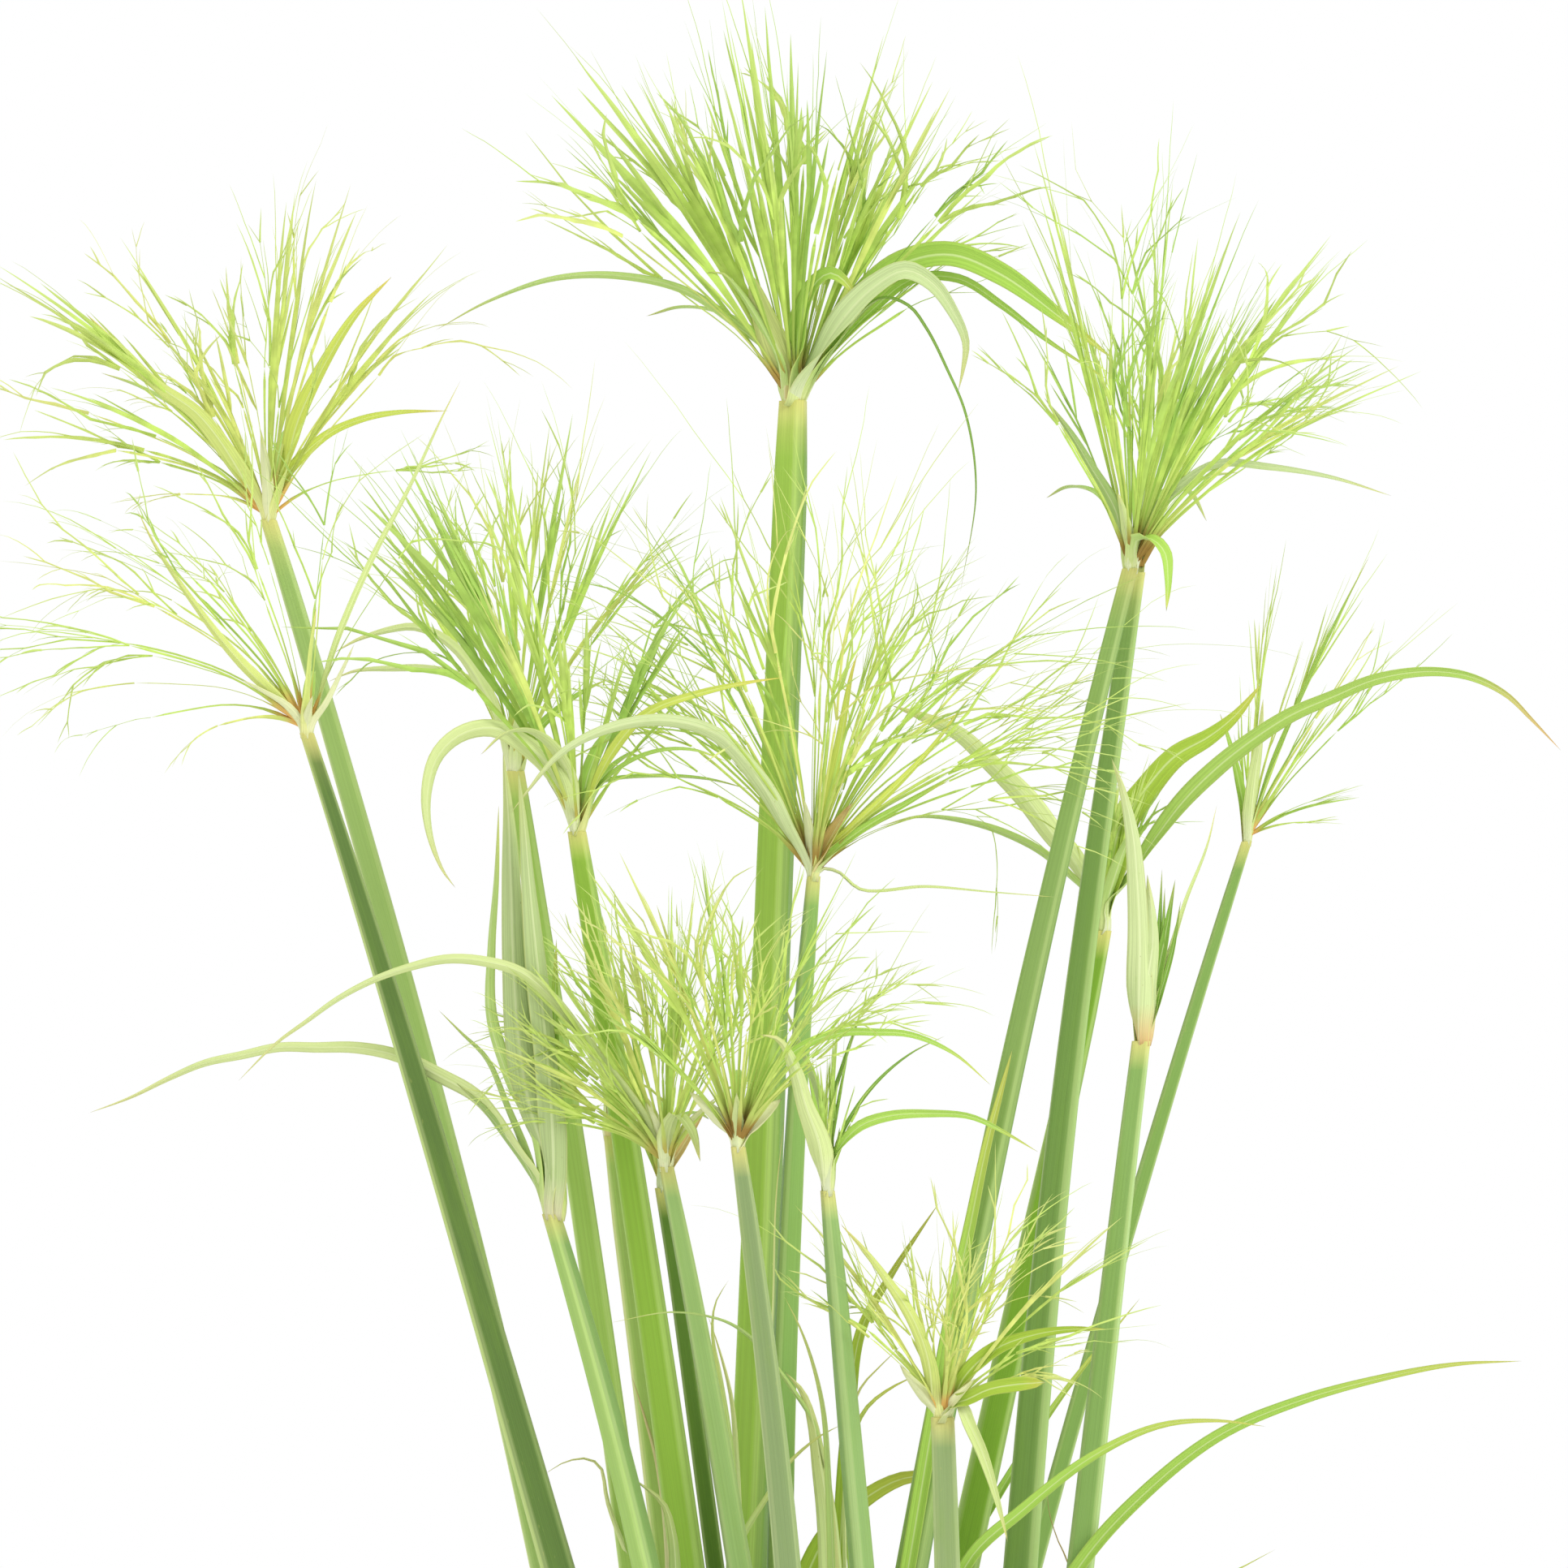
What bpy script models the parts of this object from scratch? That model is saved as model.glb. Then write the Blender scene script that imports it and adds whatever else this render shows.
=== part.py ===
"""A papyrus plant (Cyperus papyrus) in a plain round pot.

The scene is in metres, +Z up. The origin is the centre of the pot's underside, and the
plant's front looks towards -Y. Sizes below are in millimetres and angles in degrees.
"""

import math
from typing import NamedTuple

import bmesh
import bpy
import numpy as np

MM = 0.001
GAP = 0.3  # clearance between pieces that touch

# The pot and its soil
POT_HEIGHT = 165
POT_TOP_RADIUS = 105
POT_FOOT_RADIUS = 78
POT_WALL = 3.5
POT_FLOOR = 4
RIM_HEIGHT = 16
RIM_PROUD = 3
SOIL_TOP = 145
SOIL_CROWN = 3
ROOT_DEPTH = 25
POT_SIDES = 32

# A stem's section is a triangle with its corners cut off
CORNERS = (90, 210, 330)
CORNER_CUT = 18
STEM_SPANS = 4
STEM_SWELL = 0.75  # how soon the stem thickens below its head: 1 is evenly

# The whorl of bracts on a stem's head
COLLAR_HEIGHT = 5
COLLAR_FLARE = 2.6
COLLAR_SIDES = 8
BLADE_THICKNESS = 1.2
BLADE_FOLD = 0.16  # how far the edges rise, as a share of the blade's width
BLADE_START_RISE = 60  # every blade of a whorl leaves its collar at this angle
BLADE_SETTLE = 0.15  # the share of its length in which a blade turns to its own way
SPAN_LENGTHS = (66, 130, 190, 220)  # a blade has 3 spans, and 1 more past each length

# The plume of rays in the whorl
CAP_HEIGHT = 1.6
RAY_RADIUS = 0.65
RAY_RINGS = ((1, 0.0), (5, 0.5), (9, 1.0))  # rays in each ring, and its share of the fan
SHORT_RINGS = ((1, 0.0), (7, 1.0))
RAY_STATIONS = (0.4, 0.75)
RAY_BEND = 0.3  # how far along a ray its outward curve turns, as a share of its length

# How a piece is turned aside when the way that it would take is not clear
TURNS = (0, 6, -6, 12, -12, 18, -18, 24, -24, 31, -31, 38, -38, 46, -46)
FAN_SHARES = (1.0, 0.9, 0.8, 1.08, 0.7, 0.6)
CLEARANCE = 0.5
SIBLING_START = 30  # how far from their foot two bracts of one whorl are kept apart


class Stem(NamedTuple):
    """head: x, y, z of the cut top. middle: x, z on the way. foot: x, y at the soil."""

    head: tuple
    middle: tuple
    foot: tuple
    top_width: float
    foot_width: float


class Blade(NamedTuple):
    """An arc in an upright plane. Azimuth 0 is +X and 90 is +Y, the back.

    The blade leaves its foot at the angle rise above level, and bends down by bend over
    its length, late for a curl above 1 and early for one below. roll turns its face.
    """

    azimuth: float
    length: float
    rise: float
    bend: float
    curl: float
    width: float
    roll: float


class Plume(NamedTuple):
    """lean and fan are to the side, back and depth from front to back, from upright."""

    lean: float
    fan: float
    back: float
    depth: float
    reach: float
    side_reach: float
    droop: float
    rings: tuple = RAY_RINGS


STEMS = {
    1: Stem((-184, -95, 671), (-144, 540), (-36, -38), 5.0, 15.5),
    2: Stem((-209, 70, 756), (-167, 616), (-60, 20), 6.0, 11.0),
    3: Stem((-2, 30, 801), (-9, 612), (-30, 32), 10.5, 14.5),
    4: Stem((5, -48, 617), (-2, 522), (-5, 22), 5.0, 11.5),
    5: Stem((-84, -52, 634), (-64, 509), (-17, -30), 7.0, 14.5),
    6: Stem((-50, -88, 509), (-40, 456), (6, -28), 5.0, 11.0),
    7: Stem((-23, -122, 518), (-17, 475), (4, -52), 5.0, 11.0),
    8: Stem((10, -108, 501), (16, 437), (42, -45), 5.0, 9.5),
    9: Stem((53, -95, 416), (55, 362), (60, -38), 8.0, 11.0),
    10: Stem((126, -35, 734), (92, 592), (12, -4), 6.0, 14.5),
    11: Stem((131, 20, 734), (111, 591), (74, 20), 6.5, 15.5),
    12: Stem((120, 78, 594), (104, 523), (20, 36), 6.5, 13.0),
    13: Stem((129, -58, 555), (112, 400), (84, -12), 6.5, 12.0),
    14: Stem((179, 118, 629), (146, 526), (42, 58), 4.0, 8.0),
    15: Stem((-93, -84, 491), (-84, 461), (-26, -60), 6.5, 12.5),
    16: Stem((-110, 20, 657), (-93, 550), (-40, 6), 7.0, 10.5),
    17: Stem((-52, -30, 498), (-41, 419), (-6, -6), 6.0, 9.0),
    18: Stem((-73, -12, 517), (-61, 424), (-34, -14), 4.5, 6.5),
}

PLUMES = {
    1: Plume(-32, 56, -10, 45, 150, 165, 14),
    2: Plume(-2, 54, 12, 45, 142, 128, 10),
    3: Plume(-2, 44, 4, 42, 160, 150, 4),
    4: Plume(6, 52, -8, 48, 160, 140, 10),
    5: Plume(-6, 36, -14, 34, 118, 112, 6),
    6: Plume(-6, 46, -20, 36, 110, 92, 8),
    7: Plume(4, 40, -22, 34, 112, 96, 8),
    8: Plume(4, 18, -10, 18, 48, 44, 0, SHORT_RINGS),
    9: Plume(6, 46, -16, 40, 82, 70, 4, SHORT_RINGS),
    10: Plume(20, 36, -18, 34, 172, 150, 6),
    11: Plume(10, 30, 24, 30, 150, 140, 6, SHORT_RINGS),
    12: Plume(8, 16, 6, 16, 62, 56, 0, SHORT_RINGS),
    14: Plume(30, 42, 8, 36, 122, 70, 2, SHORT_RINGS),
    16: Plume(0, 30, 16, 34, 146, 132, 6),
    17: Plume(-4, 26, 16, 30, 80, 72, 2, SHORT_RINGS),
}

BRACTS = {
    1: (
        Blade(200, 30, 35, 4, 1, 5, 0),
        Blade(340, 26, 42, 4, 1, 5, 0),
        Blade(270, 22, 50, 10, 1, 5, 0),
        Blade(90, 60, 50, 60, 1, 5, 0),
    ),
    2: (
        Blade(182, 98, 75, 38, 0.3, 6.5, 50),
        Blade(8, 100, 125, 82, 0.42, 5.5, 40),
        Blade(85, 90, 55, 60, 1, 6, 0),
        Blade(262, 34, 48, 20, 1, 6, 0),
        Blade(140, 120, 52, 40, 1, 5, 30),
    ),
    3: (
        Blade(184, 151, 50, 88, 1, 3.8, 50),
        Blade(354, 140, 210, 260, 0.32, 9, 55),
        Blade(12, 151, 186, 243, 0.32, 5, 40),
        Blade(335, 117, 85, 212, 1.2, 5, 40),
        Blade(295, 60, 74, 50, 1, 10, 0),
        Blade(235, 56, 68, 40, 1, 9, 0),
        Blade(85, 130, 64, 92, 1, 8, 0),
        Blade(135, 96, 60, 76, 1, 7, 0),
    ),
    4: (
        Blade(170, 148, 90, 158, 0.9, 8, 45),
        Blade(352, 99, 45, -12, 1, 4, 40),
        Blade(16, 64, 43, 15, 1, 3, 20),
        Blade(75, 84, 60, 64, 1, 6, 0),
        Blade(125, 64, 62, 50, 1, 6, 0),
        Blade(255, 36, 66, 24, 1, 6, 0),
    ),
    5: (
        Blade(178, 120, 176, 320, 0.56, 8, 50),
        Blade(235, 82, 88, 130, 1, 4.8, 0),
        Blade(4, 91, 62, 55, 1, 5.5, 40),
        Blade(332, 76, 66, 92, 1, 3.2, 20),
        Blade(28, 78, 42, 50, 1, 3, 10),
        Blade(76, 96, 60, 76, 1, 6.5, 0),
        Blade(50, 50, 62, 50, 1, 6, 0),
    ),
    6: (
        Blade(201, 205, 86, 147, 0.9, 5, 50),
        Blade(60, 40, 78, 150, 1, 8, 0),
        Blade(10, 30, 60, 20, 1, 5, 20),
        Blade(110, 32, 60, 30, 1, 5, 0),
        Blade(240, 26, 66, 20, 1, 6, 0),
    ),
    7: (
        Blade(182, 25, 52, 4, 1, 5.5, 20),
        Blade(8, 22, 48, 4, 1, 5.5, 20),
        Blade(345, 114, 141, 184, 0.42, 4.2, 20),
        Blade(268, 22, 58, 10, 1, 5.5, 0),
        Blade(90, 58, 60, 70, 1, 5, 0),
    ),
    8: (
        Blade(200, 68, 84, 44, 1.5, 10, 20),
        Blade(345, 84, 74, 116, 0.7, 3.2, 30),
        Blade(300, 68, 85, 12, 1, 4.2, 0),
        Blade(14, 122, 88, 136, 0.5, 4.2, 40),
        Blade(100, 74, 70, 56, 1, 6, 0),
    ),
    9: (
        Blade(330, 43, 44, 40, 1, 5.2, 30),
        Blade(10, 77, 54, 50, 1, 4.6, 30),
        Blade(178, 20, 46, 4, 1, 5, 20),
        Blade(152, 76, 155, 121, 0.3, 4.8, 40),
        Blade(300, 68, 38, 112, 0.6, 4.6, 30),
        Blade(250, 18, 50, 6, 1, 5, 0),
        Blade(85, 56, 56, 50, 1, 4.5, 0),
    ),
    10: (
        Blade(192, 62, 68, 10, 1, 5, 40),
        Blade(350, 108, 171, 206, 0.3, 3.4, 40),
        Blade(305, 50, 48, 146, 1, 6.8, 0),
        Blade(248, 30, 70, 20, 1, 6.5, 0),
        Blade(45, 74, 60, 60, 1, 6, 0),
        Blade(140, 70, 60, 60, 1, 5, 0),
    ),
    11: (
        Blade(15, 64, 70, 34, 1, 5.5, 10),
        Blade(70, 106, 60, 96, 1, 6.5, 0),
        Blade(115, 90, 60, 80, 1, 6, 0),
        Blade(165, 66, 66, 46, 1, 5.5, 10),
    ),
    12: (
        Blade(22, 112, 68, 24, 1, 13, 50),
        Blade(346, 221, 57, 110, 1.8, 7.8, 50),
        Blade(170, 123, 76, 82, 1.5, 11.5, 50),
        Blade(188, 102, 51, 62, 1, 4.2, 40),
        Blade(80, 112, 62, 84, 1, 8, 0),
        Blade(300, 50, 72, 28, 1, 7, 0),
    ),
    13: (
        Blade(220, 101, 88, 10, 1, 10, 10),
        Blade(325, 56, 84, 8, 1, 5.2, 0),
        Blade(5, 88, 77, 8, 1, 3, 20),
        Blade(100, 82, 84, 12, 1, 8, 0),
    ),
    14: (
        Blade(255, 52, 88, 2, 1, 6.8, 0),
        Blade(350, 122, 70, 8, 1, 3, 20),
        Blade(110, 56, 76, 30, 1, 4.5, 0),
    ),
    15: (
        Blade(205, 178, 76, -12, 1, 11, 30),
        Blade(245, 76, 88, 0, 1, 9, 0),
        Blade(60, 116, 88, -8, 1, 9, 10),
        Blade(185, 78, 62, 2, 1, 4.2, 30),
        Blade(168, 211, 47, 86, 1.1, 7, 50),
    ),
    16: (
        Blade(186, 95, 94, 144, 1.2, 4.4, 30),
        Blade(170, 88, 190, 220, 0.32, 4, 30),
        Blade(10, 50, 62, 40, 1, 5, 20),
        Blade(90, 84, 60, 72, 1, 6, 0),
        Blade(280, 30, 66, 14, 1, 6, 0),
    ),
    17: (
        Blade(140, 32, 74, 2, 1, 6, 20),
        Blade(10, 34, 60, 2, 1, 6, 20),
        Blade(90, 66, 60, 66, 1, 6, 0),
        Blade(255, 22, 72, 8, 1, 5, 0),
    ),
    18: (
        Blade(80, 62, 84, 10, 1, 4.5, 0),
        Blade(165, 54, 82, 8, 1, 4.5, 0),
        Blade(230, 40, 84, 6, 1, 4.5, 0),
    ),
}

# Leaves rise from the soil: x, y of the foot, then the blade.
LEAVES = {
    1: ((40, -22), Blade(342, 438, 83, 92, 1.9, 6, 40)),
    2: ((42, -72), Blade(352, 366, 86, 116, 3.6, 4.6, 30)),
    3: ((6, 60), Blade(352, 300, 84, 58, 1.6, 9, 30)),
    4: ((-16, 62), Blade(4, 330, 86, 72, 1.8, 5.5, 30)),
    5: ((8, 14), Blade(2, 375, 90, 34, 1.6, 7, 20)),
    6: ((22, -20), Blade(192, 298, 89, 36, 3, 6, 0)),
}

SHOOT = Stem((10, -40, 398), (14, 350), (24, -32), 1.6, 6)

STEM_GREEN = (0.30, 0.43, 0.13)
BRACT_GREEN = (0.38, 0.50, 0.18)
RAY_GREEN = (0.36, 0.56, 0.12)
LEAF_GREEN = (0.33, 0.47, 0.12)
SHOOT_PALE = (0.58, 0.62, 0.32)
POT_COLOUR = (0.17, 0.17, 0.16)
SOIL_BROWN = (0.055, 0.035, 0.022)


def clear_scene():
    for item in list(bpy.data.objects):
        bpy.data.objects.remove(item, do_unlink=True)


def new_collection(name):
    group = bpy.data.collections.new(name)
    bpy.context.scene.collection.children.link(group)
    return group


def new_material(name, colour, roughness):
    material = bpy.data.materials.new(name)
    material.use_nodes = True
    shader = material.node_tree.nodes["Principled BSDF"]
    shader.inputs["Base Color"].default_value = (*colour, 1)
    shader.inputs["Roughness"].default_value = roughness
    shader.inputs["Metallic"].default_value = 0
    return material


def new_object(name, mesh, group, material=None):
    thing = bpy.data.objects.new(name, mesh)
    group.objects.link(thing)
    if material:
        mesh.materials.append(material)
    return thing


def mesh_of(name, form):
    """Ends a bmesh in millimetres as a mesh in metres, faces out."""
    bmesh.ops.recalc_face_normals(form, faces=form.faces[:])
    bmesh.ops.scale(form, vec=(MM, MM, MM), verts=form.verts[:])
    mesh = bpy.data.meshes.new(name)
    form.to_mesh(mesh)
    form.free()
    return mesh


def direction(azimuth, rise):
    """The unit vector at this azimuth and angle above level."""
    around = math.radians(azimuth)
    up = math.radians(rise)
    return np.array(
        (math.cos(up) * math.cos(around), math.cos(up) * math.sin(around), math.sin(up))
    )


def tilted(aside, back):
    """The unit vector tilted from upright by these angles, to +X and to +Y."""
    tilt = math.hypot(aside, back)
    azimuth = math.degrees(math.atan2(back, aside))
    return direction(azimuth, 90 - tilt)


class Room:
    """What already stands in the plant's space, as balls along each piece."""

    def __init__(self):
        self.points = np.empty((0, 3))
        self.radii = np.empty(0)

    def is_clear(self, points, radius):
        """Whether balls of this radius at these points touch nothing."""
        if not len(points) or not len(self.points):
            return True
        reach = radius + CLEARANCE + self.radii.max()
        near = (self.points > points.min(axis=0) - reach).all(axis=1)
        near &= (self.points < points.max(axis=0) + reach).all(axis=1)
        if not near.any():
            return True
        apart = np.linalg.norm(points[:, None] - self.points[near][None], axis=2)
        return bool((apart > self.radii[near] + radius + CLEARANCE).all())

    def fill(self, points, radius):
        self.points = np.concatenate((self.points, points))
        self.radii = np.concatenate((self.radii, np.full(len(points), float(radius))))


def skin(form, first, rings, tip):
    """Closes a strand from the vertices of its first ring, over more rings, to its tip."""
    before = first
    for ring in rings:
        after = [form.verts.new(point) for point in ring]
        for i in range(len(after)):
            j = (i + 1) % len(after)
            form.faces.new((before[i], before[j], after[j], after[i]))
        before = after
    end = form.verts.new(tip)
    for i in range(len(before)):
        form.faces.new((before[i], before[(i + 1) % len(before)], end))


def knob(form, footings, underside):
    """The hull of some strands' first rings and an underside, left open at each ring."""
    rings = [[form.verts.new(point) for point in ring] for ring in footings]
    owner = {vert: i for i, ring in enumerate(rings) for vert in ring}
    for point in underside:
        form.verts.new(point)
    bmesh.ops.convex_hull(form, input=form.verts[:])
    shut = []
    for face in form.faces:
        owners = {owner.get(vert) for vert in face.verts}
        if len(owners) == 1 and None not in owners:
            shut.append(face)
    bmesh.ops.delete(form, geom=shut, context="FACES_ONLY")
    return rings


def circle(centre, radius, count):
    turns = [2 * math.pi * i / count for i in range(count)]
    return [
        (centre[0] + radius * math.cos(a), centre[1] + radius * math.sin(a), centre[2])
        for a in turns
    ]


# Stems


def stem_centre(stem, z):
    """The stem's centre at this height: a parabola through head, middle and foot."""
    heights = (SOIL_TOP, stem.middle[1], stem.head[2])
    aside = np.polyfit(heights, (stem.foot[0], stem.middle[0], stem.head[0]), 2)
    share = (z - SOIL_TOP) / (stem.head[2] - SOIL_TOP)
    y = stem.foot[1] + (stem.head[1] - stem.foot[1]) * share
    return np.array((np.polyval(aside, z), y, z))


def stem_width(stem, z):
    down = max(0, (stem.head[2] - z) / (stem.head[2] - SOIL_TOP))
    return stem.top_width + (stem.foot_width - stem.top_width) * down**STEM_SWELL


def stem_section(stem, z, proud=0):
    centre = stem_centre(stem, z)
    radius = stem_width(stem, z) / (2 * math.cos(math.radians(30 - CORNER_CUT))) + proud
    angles = [corner + side for corner in CORNERS for side in (-CORNER_CUT, CORNER_CUT)]
    return [centre + radius * direction(angle, 0) for angle in angles]


def stem_form(stem, low, high, spans, proud=0.0):
    """A loft of the stem's sections between two heights."""
    form = bmesh.new()
    rings = []
    for i in range(spans + 1):
        section = stem_section(stem, low + (high - low) * i / spans, proud)
        rings.append([form.verts.new(point) for point in section])
    for below, above in zip(rings, rings[1:]):
        for i in range(len(below)):
            j = (i + 1) % len(below)
            form.faces.new((below[i], below[j], above[j], above[i]))
    form.faces.new(rings[0])
    form.faces.new(rings[-1])
    return form


def make_stem(name, stem, group, cutters, material, room):
    low = SOIL_TOP - ROOT_DEPTH
    form = stem_form(stem, low, stem.head[2], STEM_SPANS)
    new_object(name, mesh_of(name, form), group, material)
    first_span = low + (stem.head[2] - low) / STEM_SPANS
    cutter = stem_form(stem, low, first_span, 1, 1.5 * GAP)
    bmesh.ops.translate(cutter, vec=(0, 0, -GAP), verts=cutter.verts[:])
    new_object(f"cutter_{name}", mesh_of(f"cutter_{name}", cutter), cutters)
    for z in np.arange(SOIL_TOP, stem.head[2], 4):
        room.fill(stem_centre(stem, z)[None], stem_width(stem, z) / 2 + 0.6)


# Blades: bracts and leaves


def blade_line(blade, foot, azimuth, start_azimuth, start_rise):
    """Points and frames along a blade: lists of point, side and normal."""
    steps = max(24, round(blade.length / 3))
    point = np.array(foot, float)
    line = []
    for i in range(steps + 1):
        share = i / steps
        turned = min(1, share / BLADE_SETTLE)
        around = start_azimuth + (azimuth - start_azimuth) * turned
        rise = blade.rise - blade.bend * share**blade.curl
        ahead = direction(around, start_rise + (rise - start_rise) * turned)
        level = direction(around + 90, 0)
        normal = np.cross(ahead, level)
        roll = math.radians(blade.roll) * min(1, 3 * share)
        side = level * math.cos(roll) + normal * math.sin(roll)
        line.append((point, side, np.cross(ahead, side)))
        point = point + ahead * blade.length / steps
    return line


def blade_width(blade, share):
    return blade.width * min(1, 0.55 + 2.2 * share) * (1 - share**2.4)


def blade_section(point, side, normal, width, thickness, fold):
    """A shallow gutter of four points: two raised edges, the crease and the keel."""
    edge = side * width / 2
    raised = normal * width * fold
    return [
        point - edge + raised,
        point + normal * thickness / 2,
        point + edge + raised,
        point - normal * thickness / 2,
    ]


def blade_spans(blade):
    return 3 + sum(blade.length > limit for limit in SPAN_LENGTHS)


def blade_rings(blade, line, foot_width, most_width):
    """The blade's sections, from its foot to short of its tip."""
    fine = len(line) - 1
    spans = blade_spans(blade)
    rings = []
    for i in range(spans):
        share = i / spans
        point, side, normal = line[round(share * fine)]
        width = min(blade_width(blade, share), most_width(point)) if i else foot_width
        thickness = BLADE_THICKNESS * (1 - 0.5 * share)
        rings.append(blade_section(point, side, normal, width, thickness, BLADE_FOLD * min(i, 1)))
    return rings


def between(stations, spacing=2.5):
    """Evenly spaced points along a run of straight stretches."""
    points = []
    for start, end in zip(stations, stations[1:]):
        count = max(1, math.ceil(np.linalg.norm(end - start) / spacing))
        points += [start + (end - start) * i / count for i in range(count)]
    return points + [stations[-1]]


def blade_balls(blade, line, most_width):
    """Points over the blade's face, for finding what is in its way."""
    fine = len(line) - 1
    spans = blade_spans(blade)
    points = []
    for across in (-1, -0.5, 0, 0.5, 1):
        stations = []
        for i in range(spans + 1):
            point, side, normal = line[round(i * fine / spans)]
            width = min(blade_width(blade, i / spans), most_width(point))
            raised = normal * width * BLADE_FOLD * abs(across) * min(i, 1)
            stations.append(point + side * width / 2 * across + raised)
        points += between(stations)
    return np.array(points)


def clear_line(blade, foot, start_azimuth, start_rise, most_width, room, siblings):
    """The blade's line, turned aside until nothing is in its way, and its balls."""
    for turn in TURNS:
        line = blade_line(blade, foot, blade.azimuth + turn, start_azimuth, start_rise)
        balls = blade_balls(blade, line, most_width)
        beyond = balls[np.linalg.norm(balls - foot, axis=1) > SIBLING_START]
        if room.is_clear(balls, BLADE_THICKNESS / 2) and siblings.is_clear(beyond, 0):
            return line, balls
    raise ValueError(f"no clear way for {blade}")


def even_azimuths(blades):
    """Evenly spaced azimuths, in the blades' order, as near theirs as they can be."""
    step = 360 / len(blades)
    offset = sum(blade.azimuth - i * step for i, blade in enumerate(blades)) / len(blades)
    return [offset + i * step for i in range(len(blades))]


def make_bracts(name, stem, blades, group, material, room):
    """A flared collar on the stem's head, with its bracts grown from it."""
    blades = sorted(blades)
    head = np.array(stem.head, float)
    collar_radius = stem.top_width / 2 + 0.7
    ring_radius = collar_radius + COLLAR_FLARE
    spread = 2 * math.tan(math.pi / len(blades)) if len(blades) > 2 else 2
    siblings = Room()
    footings = []
    strands = []

    def most_width(point):
        away = np.linalg.norm((point - head)[:2])
        return 0.85 * spread * max(away, ring_radius)

    for blade, azimuth in zip(blades, even_azimuths(blades)):
        foot = head + direction(azimuth, 0) * ring_radius
        foot[2] += GAP + COLLAR_HEIGHT
        line, balls = clear_line(
            blade, foot, azimuth, BLADE_START_RISE, most_width, room, siblings
        )
        foot_width = min(0.6 * blade.width, 0.7 * spread * ring_radius)
        rings = blade_rings(blade, line, foot_width, most_width)
        footings.append(rings[0])
        strands.append((rings[1:], line[-1][0]))
        siblings.fill(balls, BLADE_THICKNESS)
    room.fill(siblings.points, BLADE_THICKNESS / 2)
    form = bmesh.new()
    underside = circle(head + (0, 0, GAP), collar_radius, COLLAR_SIDES)
    starts = knob(form, footings, underside)
    for start, (rings, tip) in zip(starts, strands):
        skin(form, start, rings, tip)
    new_object(name, mesh_of(name, form), group, material)


def make_leaf(name, foot, blade, group, cutters, material, room):
    """A blade that rises from a pocket in the soil."""
    start = np.array((*foot, SOIL_TOP - ROOT_DEPTH), float)
    line, balls = clear_line(
        blade, start, blade.azimuth, blade.rise, lambda _: blade.width, room, Room()
    )
    rings = blade_rings(blade, line, 0.6 * blade.width, lambda _: blade.width)
    form = bmesh.new()
    first = [form.verts.new(point) for point in rings[0]]
    form.faces.new(first)
    skin(form, first, rings[1:], line[-1][0])
    new_object(name, mesh_of(name, form), group, material)
    room.fill(balls, BLADE_THICKNESS / 2)
    cutter = bmesh.new()
    size = (blade.width + 4, blade.width + 4, 2 * ROOT_DEPTH)
    bmesh.ops.create_cube(cutter, size=1)
    bmesh.ops.scale(cutter, vec=size, verts=cutter.verts[:])
    bmesh.ops.translate(cutter, vec=start + (0, 0, ROOT_DEPTH - GAP), verts=cutter.verts[:])
    new_object(f"cutter_{name}", mesh_of(f"cutter_{name}", cutter), cutters)


# Rays


def ray_line(foot, outward, tip):
    """Stations on a curve that leaves its foot outward and ends at the tip."""
    bend = foot + outward * np.linalg.norm(tip - foot) * RAY_BEND
    shares = np.array((0, *RAY_STATIONS, 1))[:, None]
    return (1 - shares) ** 2 * foot + 2 * shares * (1 - shares) * bend + shares**2 * tip


def ray_section(point, ahead, radius):
    """Three points around a ray. No ray runs along Y, so none of them twists."""
    level = np.cross(ahead, (0, 1.0, 0))
    level /= np.linalg.norm(level)
    other = np.cross(ahead, level)
    turns = [2 * math.pi * i / 3 for i in range(3)]
    return [point + radius * (level * math.cos(a) + other * math.sin(a)) for a in turns]


def make_ray(plume, centre, outward, foot, around, share, room):
    """The rings and the tip of one ray that passes clear of all that stands there."""
    for fan_share in FAN_SHARES:
        for turn in TURNS:
            angle = math.radians(around + turn)
            spread = share * fan_share
            aside = plume.lean + plume.fan * spread * math.cos(angle)
            back = plume.back + plume.depth * spread * math.sin(angle)
            reach = plume.reach + (plume.side_reach - plume.reach) * spread
            tip = centre + tilted(aside, back) * reach - (0, 0, plume.droop * spread)
            line = ray_line(foot, outward, tip)
            balls = np.array(between(line))
            if room.is_clear(balls[2:], RAY_RADIUS):
                return line, balls
    raise ValueError(f"no clear way for a ray at {around} in {plume}")


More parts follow.
